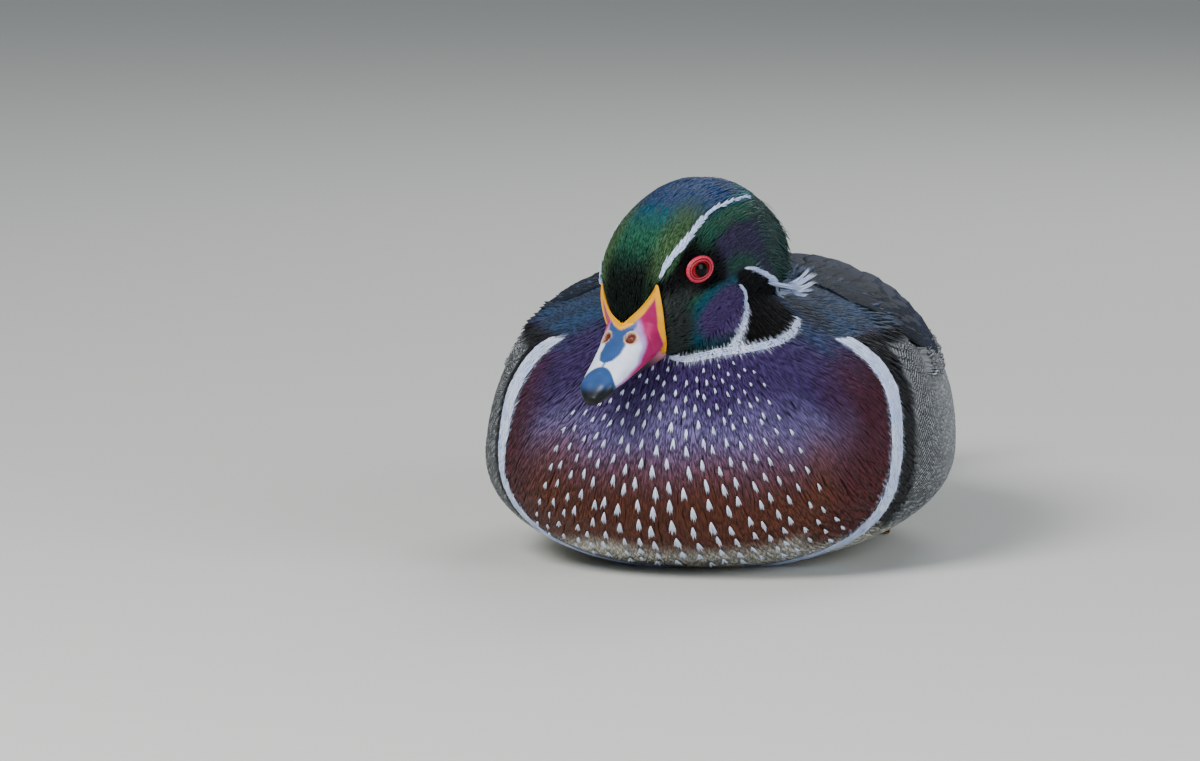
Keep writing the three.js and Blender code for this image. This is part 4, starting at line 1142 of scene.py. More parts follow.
def crest_feathers():
    """Long locks of the crest and the ragged hair-like tips at the nape."""
    rng = np.random.default_rng(21)
    n = 4200
    t = 5.2 + 4.6 * rng.random(n) ** 0.8
    a = np.radians(90 + rng.uniform(-125, 125, n) * np.interp(t, [5, 10], [0.75, 1]))
    length = np.interp(t, [5, 8, 10], [1, 5 / 6, 7 / 12]) * sizes().crest / MM * (0.8 + 0.4 * rng.random(n))
    length = np.minimum(length, 4 + (10.3 - t) * 9)
    rise = 0.5 + 3.2 * rng.random(n) ** 3 * smoothstep(6.5, 9, t)
    middles, ups = lay(SKULL, t, a, length, rise, 0.6, 22, 0, 0.05)
    coat = Coat()
    coat.add(middles, ups, 0.9, 0.12, paint_head, 23, scatter_tint=0.12)
    gather("crest_feathers", coat, "head", "head_feathers", "head")


# Gap between tufts' roots and between a line's places, and the heights of a tuft's points over the skin, in
# millimetres, on the head's lines and on the side bars
ROOT_GAP, LINE_GAP = 0.4, 0.6
LINE_HEIGHT, BAR_HEIGHT = np.array([0.2, 1.35, 1.55, 1.35]), np.array([0.6, 1.95, 2.1, 1.85])
# How far a line's tufts may be moved to reach the skin, on the left and the right
MOST_MOVED = {1: 4.0, -1: 3.0}


def along_line(points, widths, length, fray, seed, side=1, shift=0.0):
    """Tufts that follow a line laid on the skin: roots fill its width, which widths gives at even steps along
    it, and each tuft runs along the line while its tip strays by about fray. side -1 is the head's right."""
    line, marks = resampled(points, LINE_GAP)
    line, marks = head_places(line * [side, 1, 1] - shift), marks / marks[-1]
    rng = np.random.default_rng(seed)
    wide = np.interp(marks, np.linspace(0, 1, len(widths)), widths)
    count = int(len(line) * LINE_GAP * wide.mean() / ROOT_GAP**2)
    filled = np.append(0, np.cumsum(0.5 * (wide[1:] + wide[:-1])))
    s = np.interp(rng.random(count) * filled[-1], filled, np.arange(len(line)))
    offset = rng.uniform(-0.5, 0.5, count) * np.interp(s, np.arange(len(line)), wide)
    steps = np.clip(s[:, None] + length / LINE_GAP * TUFT_SHARES, 0, len(line) - 1.001)
    k = steps.astype(int)
    middles = line[k] + (line[k + 1] - line[k]) * (steps - k)[..., None]
    along = unit(np.gradient(middles, axis=1) + 1e-6)
    _, ups = on_skin(middles)
    stray = offset[:, None] + fray * rng.normal(size=(count, 1)) * TUFT_SHARES
    middles = middles + unit(np.cross(along, ups)) * stray[..., None]
    landed, ups = on_skin(middles)
    height = LINE_HEIGHT[None, :, None] + 0.12 * rng.normal(size=(count, 1, 1))
    reached = np.linalg.norm(landed - middles, axis=-1).max(axis=1) < MOST_MOVED[side]
    return (landed + ups * height)[reached], ups[reached]


def line_white(points):
    """White of the head's lines, with a painted blue of sky-lit shade in uneven patches."""
    return mix(dye("white"), PAINTED_SKY_SHADE_WHITE, 0.3 + 0.3 * wobble(points, 7, 4))


def head_lines():
    """White lines of the head: over the eye, behind it, up the cheek and round the throat, and the plume."""
    coat = Coat()
    for number, line in enumerate(HEAD_LINES):
        for side, shift in ((1, 0.0), (-1, BROW_DROP if line[0] is BROW_LINE else 0.0)):
            middles, ups = along_line(*line, 31 + number, side, shift)
            coat.add(middles, ups, 0.55, 0.12, line_white, 41 + number, scatter_tint=0.04)
    middles, ups = along_line(*THROAT_REAR, 36)
    coat.add(middles, ups, 0.55, 0.12, line_white, 46, scatter_tint=0.04)
    rng = np.random.default_rng(37)
    strands = [lock[2] for lock in PLUME]
    root, tip = (np.repeat(np.array([lock[i] for lock in PLUME], float), strands, axis=0) for i in (0, 1))
    root, tip = root + rng.normal(0, 0.5, root.shape), tip + rng.normal(0, 0.5, tip.shape)
    tip = root + (tip - root) * rng.uniform(0.65, 1.03, (len(root), 1))
    k = np.array([0, 0.35, 0.72, 1.0])[None, :, None]
    local = root[:, None] * (1 - k) + tip[:, None] * k + np.array([-0.4, 0.6, -1.0]) * 4 * k * (1 - k)
    ups = np.broadcast_to(unit(np.array([1.0, -0.5, 0.2])), local.shape)
    for flip in ([1, 1, 1], [-1, 1, 1]):
        coat.add(head_places(local * flip), (ups * flip) @ HEAD_TURN.T, 0.5, 0.14, line_white, 47, scatter_tint=0.04)
    gather("head_white_lines", coat, "white", "head_feathers", "head", "neck")


def body_feathers():
    """Feathers over the neck, breast, flanks, belly, mantle and rump, each kind with its own size and lie."""
    def spacing(t, a):
        return np.interp(t, [0, 2, 5, 7, 12, 15], [1.1, 1.2, 1.4, 2.1, 2.5, 2.2])

    def keep(t, a):
        places, _ = TRUNK.point(t, a)
        side = np.degrees((a + math.pi / 2) % (2 * math.pi) - math.pi / 2)
        lean = np.where(side > 90, 180 - side, side)
        s = (t - WING_FROM) / (WING_TIP - WING_FROM)
        low, high = wing_edges(s)
        winged = (s > 0.1) & (s < 0.85) & (lean > low + 6) & (lean < high - 6)
        return (places[..., 2] > 0.6) & ~winged
    t, a = scatter(TRUNK, 0.15, 14.9, spacing, 51, keep)
    places, _ = TRUNK.point(t, a)
    open_air = ~buried(places, 3.2)
    t, a, places = t[open_air], a[open_air], places[open_air]
    x, y, z = places.T
    length = np.interp(t, [0, 2, 5, 7, 12, 15], [7, 9, 12, 17, 18, 16])
    width = np.interp(t, [0, 2, 5, 7, 12, 15], [1.0, 1.15, 1.4, 2.8, 3.6, 3.2])
    mantle = mantle_share(places)
    length, width = length * (1 - 0.15 * mantle), width * (1 + 0.5 * mantle * smoothstep(7, 3, t))
    s = (t - WING_FROM) / (WING_TIP - WING_FROM)
    over_wing = 2.6 * bump(s, 0.03, 0.12) * smoothstep(20, 34, np.degrees(np.arctan2(z - 50, np.abs(x))))
    middles, ups = lay(TRUNK, t, a, length, sizes().fluff / MM + over_wing, 0.9 - 0.3 * mantle, 52, 0, 0.05)
    kinds = {
        "rump_feathers": (y > 102, "body"),
        "flank_feathers": (np.maximum(vermiculation(places), vermiculation(middles[:, 3])) > 0.02, "flank"),
        "mantle_feathers": (z > 86, "body"),
        "breast_feathers": (t < 6.6, "body"),
        "belly_feathers": (t > -1, "body"),
    }
    left = np.ones(len(t), bool)
    for number, (name, (mask, material)) in enumerate(kinds.items()):
        chosen = left & mask
        left &= ~mask
        coat = Coat()
        coat.add(middles[chosen], ups[chosen], width[chosen], 0.07 + 0.02 * width[chosen], paint_body,
                 53 + number, vermiculation, 0.045)
        gather(name, coat, material, "body_feathers", "torso", "neck")


def side_bars():
    """The white bar before each wing, of narrow feathers that run down it."""
    coat = Coat()
    for side, bar, top in ((1, BAR_LEFT, 89.5), (-1, BAR_RIGHT, 88.5)):
        rng = np.random.default_rng(61)
        n = 2600
        z = rng.uniform(4, top, n)
        across = rng.uniform(-0.5, 0.5, n)
        length = 7 * (0.85 + 0.3 * rng.random(n))
        steps = z[:, None] - length[:, None] * TUFT_SHARES * 0.92
        front, rear = (np.interp(steps, bar[:, 0], bar[:, i]) for i in (1, 2))
        path_y = 0.5 * (front + rear) + across[:, None] * (rear - front) * 0.74 + 0.8 * TUFT_SHARES
        path_y += 0.35 * rng.normal(size=(n, 1)) * TUFT_SHARES
        places = np.stack([np.full_like(steps, 200.0 * side), path_y, np.maximum(steps, 0.5)], -1).reshape(-1, 3)
        hits = [SHARED["skin"].ray_cast(Vector(p), Vector((-side, 0, 0)), 250) for p in places]
        found = np.array([h[0] if h[0] is not None else (0, 0, 0) for h in hits]).reshape(n, 4, 3)
        ups = np.array([h[1] if h[1] is not None else (side, 0, 0) for h in hits]).reshape(n, 4, 3)
        height = BAR_HEIGHT[None, :, None] + 0.1 * rng.normal(size=(n, 1, 1))
        coat.add(found + ups * height, ups, 1.3, 0.1, line_white, 62, scatter_tint=0.05)
    gather("side_white_bars", coat, "white", "body_feathers", "torso")


def breast_flecks():
    """White flecks of the breast: in columns down the breast, each fleck a fan of barbs at a feather's tip."""
    rng = np.random.default_rng(71)
    roots_t, roots_a, size = [], [], []
    for column in range(-9, 10):
        t = 1.0 + 0.12 * abs(column % 2)
        while t < 6.9:
            a = math.radians(-90 + 4.8 * column)
            along, _ = TRUNK.speeds(np.array([t]), np.array([a]))
            roots_t.append(t + rng.normal(0, 0.02))
            roots_a.append(a + rng.normal(0, 0.014))
            outer = 1 - 0.45 * abs(column) / 9
            size.append(np.interp(t, [1, 2, 3.5, 5.5, 7], [1.7, 2.6, 4.2, 6.6, 7.5]) * outer)
            t += np.interp(t, [1, 3, 6], [4.6, 6.8, 9.6]) / float(along[0])
    t, a, size = np.array(roots_t), np.array(roots_a), np.array(size)
    places, _ = TRUNK.point(t, a)
    keep = (places[:, 2] > 4) & ~buried(places, 1.5) & (throat_reach(SKULL.inside(places)) < -3.6)
    t, a, size = t[keep], a[keep], size[keep]
    coat = Coat()
    for barb in range(7):
        spread = (barb - 3) / 3
        middles, ups = lay(TRUNK, t, a, size * (1 - 0.1 * abs(spread)), 1.0, -0.75, 72 + barb,
                           spread * 0.21, 0.02)
        coat.add(middles, ups, size * 0.085 + 0.22, 0.14, evenly(dye("white")), 82 + barb, scatter_tint=0.03)
    gather("breast_flecks", coat, "white", "body_feathers", "torso")


def wing_feathers():
    """Folded wings: rows of broad feathers from the long primaries up to the scapulars on the shoulder."""
    for side, name in SIDES:
        middles, ups, half, kinds = [], [], [], []
        rng = np.random.default_rng(91)
        for count, root, tip, wide, low, high, kind in WING_ROWS:
            f = (np.linspace(0, 1, count) + rng.normal(0, 0.02, count))[:, None]
            start = [root[i] + (root[i + 2] - root[i]) * f for i in (0, 1)]
            end = [tip[i] + (tip[i + 2] - tip[i]) * f + rng.normal(0, 0.012, (count, 1)) for i in (0, 1)]
            along = [start[i] + (end[i] - start[i]) * VANE_SHARES for i in (0, 1)]
            stagger = 0.35 * (f - 0.5)
            lift = low + (high - low) * VANE_SHARES + stagger
            place, normal = wing_point(side, along[0], along[1], lift)
            middles.append(place)
            ups.append(normal)
            half.append(wide * (1 + 0.08 * rng.normal(size=count)))
            kinds += [kind] * count
        shade = 1 + 0.12 * rng.normal(size=(len(kinds), 1))
        centre = np.array([FEATHER_TONES[kind][0] for kind in kinds]) * shade
        edge = np.array([FEATHER_TONES[kind][1] for kind in kinds]) * shade
        tipped = np.array([kind in ("tertial", "speculum") for kind in kinds], float)

        def paint(i, k, w):
            i = np.broadcast_to(i, k.shape)
            # The tone runs to each kind's edge colour towards its edges, which for scapulars and coverts is a
            # painted sheen
            tone = mix(centre[i], edge[i], smoothstep(0.45, 0.95, np.abs(w)))
            return mix(tone, dye("white"), smoothstep(0.955, 0.975, k) * tipped[i])
        obj = vane_piece(f"wing_{name}_feathers", np.concatenate(middles), np.concatenate(ups),
                         np.concatenate(half), 0.35 * side, paint, camber=0.05, thick=0.3)
        finish_piece(obj, "wing", "wing_feathers", f"wing_{name}")


def flank_tips():
    """The longest flank feathers under the wing's edge, ragged at the tip and crossed by black, white and
    black: fans of barbs in four lengths, the shorter ones on top."""
    coat = Coat()
    rng = np.random.default_rng(95)
    n, fan = 13, 15
    root = np.repeat(np.linspace(7.6, 11.0, n) + rng.normal(0, 0.03, n), fan)
    spread = np.tile(np.linspace(-1, 1, fan), n)
    low = np.radians(WING_LOW + 0.5 + 1.4 * (root - 7.6)) + np.radians(4.2) * spread
    reach = np.repeat(rng.uniform(19, 21, n), fan) * (1 - 0.14 * spread**2) + rng.normal(0, 0.3, n * fan)
    bands = ((0.0, BAR_BLACK), (2.2, dye("white")), (7.0, BAR_BLACK), (11.0, dye("flank_grey") * 0.6))
    for number, (short, shade) in enumerate(bands):
        middles, ups = lay(TRUNK, root, low, reach - short, 1.3 + 0.2 * number, 0.6, 96, -0.04 * spread, 0.015)
        for side in (1, -1):
            flip = np.array([side, 1, 1])
            coat.add(middles * flip, ups * flip, 1.5, 0.1, evenly(shade), 97, scatter_tint=0.04)
    gather("flank_tips", coat, "body", "body_feathers", "torso")


def tail_feathers():
    """Fourteen tail feathers, the middle pair on top, with coverts above and below their roots."""
    specs, half, kinds = [], [], []
    # Tail feathers from the outer pair in, each higher than the one before
    for i in range(7, 0, -1):
        for side in (-1, 1):
            specs.append((side * (1.75 * i - 0.9), side * (0.25 + 0.9 * i), 26, 99 - 0.42 * i * i,
                          2.2 - 0.52 * i + 0.2 * (side < 0), 2.3 - 0.52 * i + 0.2 * (side < 0)))
            half.append(5.2)
            kinds.append(0)
    # Coverts above, in rows that end nearer and nearer the root
    rng = np.random.default_rng(97)
    for row in range(6):
        for i in np.arange(-4, 5) + 0.5 * (row % 2):
            reach = 64 - 8 * row - 1.1 * abs(i) + 3.5 * rng.normal()
            specs.append((3.2 * i, 1.9 * i, 20 - 5 * row, reach, 2.0 + 0.6 * row, 3.4 + 0.6 * row))
            half.append(3.9)
            kinds.append(1)
    # Coverts below
    for row in range(4):
        for i in np.arange(-3, 4) + 0.5 * (row % 2):
            specs.append((3.6 * i, 2.0 * i, 12 - 6 * row, 64 - 12 * row - 0.6 * abs(i), -6.2 - 0.3 * row,
                          -3.6 - 1.1 * row))
            half.append(4.4)
            kinds.append(2)
    middles, ups = tail_blades(specs)
    kinds = np.array(kinds)
    ups = np.where((kinds == 2)[:, None, None], -ups, ups)
    tones = np.array([colour("1b1f22"), colour("15191b"), colour("1e1a18")])
    edges = np.array([colour("2b2a26"), colour("1c2a26"), colour("2a241f")])

    def paint(i, k, w):
        kind = kinds[np.broadcast_to(i, k.shape)]
        return mix(tones[kind], edges[kind], np.abs(w))
    finish_piece(vane_piece("tail_feathers", middles, ups, half, 0.5, paint), "wing", "tail_feathers", "tail")


def bill_forms():
    """Upper bill with sunk nostrils and a raised nail, its bare lobes on the face, and the lower bill."""
    # Upper bill: dents, nail and lip push its surface along the way to its middle
    points, quads, triangles = loft_mesh(UPPER, 0, 7, 150, 96)
    local = UPPER.inside(points)
    near = np.linalg.norm((np.abs(local) * [1, 0, 0] + local * [0, 1, 1] - NOSTRIL) / [2.4, 2.7, 2.4], axis=-1)
    inward = unit(-(local - np.stack([0 * local[:, 0], local[:, 1], 0 * local[:, 0] - 15], -1)))
    dent = 1.3 * smoothstep(0.95, 0.55, near) - 0.35 * bump(near, 1.15, 0.35)
    nail = -0.45 * smoothstep(50.5, 53, -local[:, 1] - 0.09 * local[:, 0] ** 2) * smoothstep(-23, -21, local[:, 2])
    lip = -0.5 * bump(local[:, 2], -19.4, 1.3) * smoothstep(58, 50, -local[:, 1])
    local = local + inward * (dent + nail + lip)[:, None]
    places = head_places(local)
    upper = new_mesh("upper_bill", places, quads, triangles, paint_bill(points))
    finish_piece(upper, "bill", "bill_horn", "bill_upper")
    # Lobes: a thin sheet over face and bill, from the feather line in, with a raised rim
    trees = [tree_of(*loft_mesh(SKULL, -0.1, 10.1, 90, 72)), tree_of(points, quads, triangles)]
    edge, marks = resampled(BILL_EDGE, 0.55)
    share = marks / marks[-1]
    turn = np.radians(np.interp(share, [0, 0.42, 1], [90, 52, -42]))
    inner = np.stack([11.0 * np.cos(turn), np.full_like(turn, -32.0), -15 + 9 * np.sin(turn)], -1)
    both = [np.concatenate([(side * [-1, 1, 1])[:0:-1], side]) for side in (edge, inner)]
    v = np.concatenate([np.linspace(0, 0.16, 9), np.linspace(0.2, 1, 24)])[:, None, None]
    grid = both[0][None] + (both[1] - both[0])[None] * v
    found, away = envelope(trees, grid.reshape(-1, 3), -13.0)
    found, away = found.reshape(grid.shape), away.reshape(grid.shape)
    step = np.linalg.norm(both[1] - both[0], axis=-1)[None, :, None] * v
    height = 0.15 + 0.75 * bump(step, 1.1, 1.6) - 0.6 * smoothstep(0.8, 1, v) - 0.8 * smoothstep(0.4, 0, step)
    lobes = shell_piece("bill_base", found + away * height, found + away * (height - 0.9), paint_bill)
    finish_piece(lobes, "bill", "bill_horn", "bill_upper")
    # Lower bill
    points, quads, triangles = loft_mesh(LOWER, 0, 5, 90, 64)
    tone = mix(JAW_PINK, JAW_DARK, smoothstep(20, 34, -LOWER.inside(points)[:, 1]))
    finish_piece(new_mesh("lower_bill", points, quads, triangles, tone), "jaw", "bill_horn_dark", "bill_lower")


IRIS_DARK, PUPIL, EYE_RIM = colour("6a0810"), colour("020202"), colour("16060a")
# The lid's pink is a painted highlight on its folds
LID_RED, LID_PAINTED_HIGHLIGHT, LID_INNER = colour("ae0a30"), colour("e04468"), colour("960f2c")


def eye_parts():
    """Each eye: a ball with red iris and black pupil, and a swollen red lid ring with fine folds."""
    for side, name in SIDES:
        centre = EYE_PLACE * [side, 1, 1]
        look = EYE_LOOK * [side, 1, 1]
        # Ball, with the cornea's dome to the front
        rows, columns = 48, 64
        polar, round_ = np.meshgrid(np.linspace(0, math.pi, rows + 2)[1:-1],
                                    np.linspace(0, 2 * math.pi, columns, endpoint=False), indexing="ij")
        second = unit(np.cross(look, [0, 0, 1.0]))
        third = np.cross(look, second)
        radius = EYE_RADIUS - 0.15 + 0.25 * smoothstep(0.8, 0, polar)
        ball = centre + radius[..., None] * (
            np.cos(polar)[..., None] * look
            + np.sin(polar)[..., None] * (np.cos(round_)[..., None] * second + np.sin(round_)[..., None] * third))
        ends = centre + np.array([radius[0, 0] * look, -(EYE_RADIUS - 0.15) * look])
        points, quads, triangles = closed_grid(ball, ends)
        out = np.degrees(np.append(polar.ravel(), [0, math.pi]))
        tone = mix(IRIS_DARK, dye("iris_red"), 0.5 + 0.5 * wobble(points * 3, 2.0, 9))
        tone = mix(tone, PUPIL, smoothstep(33.5, 32, out))
        tone = mix(tone, EYE_RIM, smoothstep(50, 60, out))
        eye = outward(new_mesh(f"eyeball_{name}", head_places(points), quads, triangles, tone))
        finish_piece(eye, "eye", "eye", f"eye_{name}")
        # Lid: a folded ring round the iris, and a thin rim inside it
        ring, tube = 72, 20
        a, b = np.meshgrid(np.linspace(0, 2 * math.pi, ring, endpoint=False),
                           np.linspace(0, 2 * math.pi, tube, endpoint=False), indexing="ij")
        fold = 1 + 0.07 * np.sin(26 * a + 1.5 * np.sin(5 * a)) + 0.16 * np.cos(3 * b + 0.6)
        wide = 4.65 + 0.85 * np.cos(a) ** 2
        thick = (0.66 + 0.06 * np.cos(a)) * fold
        out_way = np.cos(a)[..., None] * second + np.sin(a)[..., None] * third * 0.95
        lid_centre = centre + look * 3.75
        lid = lid_centre + out_way * (wide + thick * np.cos(b))[..., None] + (
            look * (thick * np.sin(b) * 0.9)[..., None])
        flat = head_places(lid.reshape(-1, 3))
        i, j = np.meshgrid(np.arange(ring), np.arange(tube), indexing="ij")
        faces = np.stack([i * tube + j, ((i + 1) % ring) * tube + j, ((i + 1) % ring) * tube + (j + 1) % tube,
                          i * tube + (j + 1) % tube], -1).reshape(-1, 4)
        # Pink painted highlight on the outward crests of the lid's folds
        tone = mix(LID_RED, LID_PAINTED_HIGHLIGHT,
                   0.45 * (0.5 + 0.5 * np.sin(26 * a)).ravel() * smoothstep(-0.2, 0.9, np.sin(b)).ravel())
        rim = centre + look * 4.15 + out_way * (wide - 1.1 + 0.42 * np.cos(b))[..., None] + (
            look * (0.42 * np.sin(b))[..., None])
        flat = np.concatenate([flat, head_places(rim.reshape(-1, 3))])
        faces = np.concatenate([faces, faces + ring * tube])
        tone = np.concatenate([tone, np.broadcast_to(LID_INNER, tone.shape)])
        lids = outward(new_mesh(f"eyelids_{name}", flat, faces, colours=tone))
        finish_piece(lids, "lid", "eye", f"eye_{name}")


# Where a foot's toes meet, and how far each toe turns from straight ahead and its length; the last is the
# short hind toe. A web spans this share of the toes on either side of it.
FOOT_ROOT = np.array([46.0, 92.0, 3.0])
TOES = ((17, 46), (0, 50), (-17, 40), (160, 13))
WEB_SHARE = 0.92
LEG_SHADE, TOE_YELLOW, TOE_SHADE = colour("6c5430"), colour("a27a38"), colour("64502c")
WEB_BROWN, CLAW_BLACK = colour("5b4a30"), colour("15120f")


def leg_parts():
    """Short yellow legs against the belly, and broad feet: toes with scale rings, folded webs and claws."""
    for side, name in SIDES:
        flip = np.array([side, 1, 1])
        path, _ = resampled([(46, 88, 4.4), (45.5, 104, 6.6), (45, 116, 9.6), (44, 119, 17), (41, 112, 30)], 0.8)
        share = np.linspace(0, 1, len(path))
        radii = np.interp(share, [0, 0.25, 0.5, 0.7, 1], [3.0, 2.9, 3.7, 3.7, 5.8])
        rings = 1 + 0.06 * np.abs(np.sin(share * 70)) * smoothstep(0.6, 0.4, share)
        points, quads, triangles = tube_mesh(path * flip, radii * rings, 28)
        tone = mix(dye("leg_yellow"), LEG_SHADE, 0.5 + 0.5 * wobble(points, 8, 2))
        leg = outward(new_mesh(f"leg_skin_{name}", points, quads, triangles, tone))
        finish_piece(leg, "leg", "leg_skin", f"leg_{name}")
        # Toes with a knuckle at each joint, each with a claw that bends down
        parts, claws, lines = [], [], []
        for turn, length in TOES:
            way = np.array([math.sin(math.radians(turn)), -math.cos(math.radians(turn)), 0])
            s = np.linspace(0, 1, int(length * 1.6))
            middle = FOOT_ROOT + s[:, None] * way * length
            joints = 3 if length > 20 else 1
            knuckle = 1 + 0.16 * np.cos(s * joints * 2 * math.pi) + 0.035 * np.sin(s * length * 2.2)
            radius = 2.05 * (1 - 0.32 * s) * knuckle
            middle[:, 2] = np.maximum(radius, 1.2) + 0.1
            parts.append(tube_mesh(middle * flip, radius, 16))
            lines.append(middle)
            tip = middle[-1]
            s = np.linspace(0, 1, 14)[:, None]
            claw = tip + way * (s * 5.2) + np.array([0, 0, 1.0]) * (0.5 * np.sin(s * math.pi) - 0.5 * s)
            claws.append(tube_mesh(claw * flip, 1.0 * (1 - s[:, 0]) ** 0.7 + 0.08, 10))
        points, quads, triangles = joined(parts)
        tone = mix(TOE_YELLOW, TOE_SHADE, 0.5 + 0.5 * wobble(points, 5, 7))
        toes = outward(new_mesh(f"toes_{name}", points, quads, triangles, tone))
        finish_piece(toes, "leg", "leg_skin", f"foot_{name}")
        # Webs: sheets from toe to toe, hollow at the free edge and pleated across
        u, v = np.linspace(0, 1, 60)[:, None, None], np.linspace(0, 1, 24)[None, :, None]
        for number in (0, 1):
            a, b = (np.stack([np.interp(u[:, 0, 0] * WEB_SHARE, np.linspace(0, 1, len(line)), line[:, i])
                              for i in range(3)], -1)[:, None] for line in lines[number:number + 2])
            web = a + (b - a) * v + np.array([0, 1.0, 0]) * (3.2 * u**3 * np.sin(v * math.pi))
            web[..., 2] = 1.5 + 0.35 * np.cos(v[..., 0] * math.pi * 7) * u[..., 0]
            sheet = shell_piece(f"web_{name}_{number + 1}", web * flip, (web - [0, 0, 0.8]) * flip,
                                evenly(WEB_BROWN))
            finish_piece(sheet, "leg", "leg_skin", f"foot_{name}")
        points, quads, triangles = joined(claws)
        nails = outward(new_mesh(f"claws_{name}", points, quads, triangles, evenly(CLAW_BLACK)(points)))
        finish_piece(nails, "claw", "leg_skin", f"foot_{name}")


# Stage

# The camera's backward and rightward ways, the place it aims at, how far off it stands and its lens in mm
CAMERA_BACK = Vector((0.1554, -0.9814, 0.1132))
CAMERA_RIGHT = Vector((0.9877, 0.1564, 0.0))
CAMERA_AIM = Vector((-27.8, -123.0, 78.6)) * MM
CAMERA_FAR = 5.0
CAMERA_LENS = 393.0


def make_camera():
    """The camera stands far off and low, a little to the duck's left."""
    data = bpy.data.cameras.new("Camera")
    data.lens, data.sensor_width = CAMERA_LENS, 36.0
    data.clip_start, data.clip_end = 0.1, 50.0
    camera = bpy.data.objects.new("Camera", data)
    back = CAMERA_BACK.normalized()
    right = CAMERA_RIGHT.normalized()
    up = back.cross(right)
    turn = Matrix((right, up, back)).transposed().to_4x4()
    camera.matrix_world = Matrix.Translation(CAMERA_AIM + back * CAMERA_FAR) @ turn
    bpy.context.scene.collection.objects.link(camera)
    bpy.context.scene.camera = camera


def make_light(name, place, size, watts, tint):
    """A broad square lamp at a place, turned to the duck."""
    data = bpy.data.lights.new(name, "AREA")
    data.shape, data.size, data.energy, data.color = "SQUARE", size, watts, tint
    lamp = bpy.data.objects.new(name, data)
    lamp.location = Vector(place)
    lamp.rotation_mode = "QUATERNION"
    lamp.rotation_quaternion = (Vector(place) - LAMP_AIM).to_track_quat("Z", "Y")
    bpy.context.scene.collection.objects.link(lamp)


# Half the floor's side in millimetres
FLOOR_HALF = 6000.0
# Each lamp's place and side in metres, watts and tint. The main lamp, with none, takes the user's.
LAMP_AIM = Vector((0.0, -0.02, 0.07))
LAMPS = (
    ("Key light", (-0.9, -1.3, 1.5), 0.9, None, (1.0, 0.98, 0.95)),
    ("Fill light", (1.4, -1.1, 0.7), 1.2, 22.0, (0.93, 0.96, 1.0)),
    ("Back light", (0.3, 1.5, 1.2), 0.8, 12.0, (1.0, 1.0, 1.0)),
)


def make_stage():
    """Pale floor, three broad lamps and a soft even sky."""
    corners = np.array([(-1, -1, 0), (1, -1, 0), (1, 1, 0), (-1, 1, 0)]) * FLOOR_HALF
    floor = new_mesh("floor", corners, np.array([(0, 1, 2, 3)]), smooth=False)
    # Smooth matt card: it takes soft shadows and gives no reflections
    material, _, shader = principled("Pale floor", Roughness=0.85)
    shader.inputs["Base Color"].default_value = (*sizes().floor, 1)
    floor.data.materials.append(material)
    for name, place, size, watts, tint in LAMPS:
        make_light(name, place, size, sizes().key_light if watts is None else watts, tint)
    world = bpy.data.worlds.new("Soft sky")
    world.use_nodes = True
    world.node_tree.nodes["Background"].inputs[0].default_value = (0.8, 0.85, 0.92, 1)
    world.node_tree.nodes["Background"].inputs[1].default_value = 0.3
    bpy.context.scene.world = world
    make_camera()


# Add-on

def dye_property(name, description, text):
    """A colour that the user can change, from its usual hex."""
    return bpy.props.FloatVectorProperty(name=name, description=description, subtype="COLOR", size=3, min=0.0,
                                         max=1.0, default=tuple(float(v) for v in colour(text)))


class DuckSizes(bpy.types.PropertyGroup):
    """Sizes and colours that a user would change."""

    fluff: bpy.props.FloatProperty(
        name="Fluff", description="How far the body feathers' tips stand off", default=0.12 * MM,
        min=0.0, max=3 * MM, precision=5, unit="LENGTH")
    crest: bpy.props.FloatProperty(
        name="Crest", description="Length of the crest's longest feathers", default=24 * MM,
        min=8 * MM, max=30 * MM, precision=4, unit="LENGTH")
    bar_pitch: bpy.props.FloatProperty(
        name="Flank bars", description="Distance from one dark flank bar to the next", default=1.366 * MM,
        min=0.5 * MM, max=4 * MM, precision=5, unit="LENGTH")
    key_light: bpy.props.FloatProperty(
        name="Key light", description="Strength of the main lamp", default=56.0, min=0.0, max=500.0,
        unit="POWER")
    crown_green: dye_property("Crown green", "Colour of the forehead and crown", "28624c")
    # The crown's top colour is painted sheen: the blue its iridescent feathers show where light falls from above
    crown_painted_sheen: dye_property("Crown blue", "Colour of the crown's top", "0a3668")
    cheek_purple: dye_property("Cheek purple", "Colour of the cheek's patch", "4e3c6c")
    breast_violet: dye_property("Breast violet", "Colour of the upper breast and neck", "3e3060")
    breast_chestnut: dye_property("Breast chestnut", "Colour of the lower breast", "66382a")
    flank_grey: dye_property("Flank grey", "Colour of the flanks between their bars", "a2a6ac")
    # The white's faint blue is painted sky light over the white feathers
    white: dye_property("White", "Colour of the white lines, bars and flecks", "dce6ff")
    bill_yellow: dye_property("Bill yellow", "Colour of the line round the bill's base", "eaa200")
    bill_crimson: dye_property("Bill crimson", "Colour of the bill's side", "a01258")
    iris_red: dye_property("Iris red", "Brightest colour of the iris", "b01a20")
    leg_yellow: dye_property("Leg yellow", "Colour of the legs", "9a7436")
    floor: bpy.props.FloatVectorProperty(
        name="Floor", description="Colour of the floor", subtype="COLOR", size=3, min=0.0, max=1.0,
        default=(0.58, 0.6, 0.57))


class DUCK_OT_materials(bpy.types.Operator):
    """Makes the duck's finishes"""

    bl_idname = "duck.materials"
    bl_label = "Finishes"
    bl_options = {"REGISTER", "UNDO"}

    def execute(self, context):
        make_materials()
        return {"FINISHED"}


class DUCK_OT_skin(bpy.types.Operator):
    """Makes the skin under the feathers"""

    bl_idname = "duck.skin"
    bl_label = "Skin"
    bl_options = {"REGISTER", "UNDO"}

    def execute(self, context):
        make_skin()
        return {"FINISHED"}


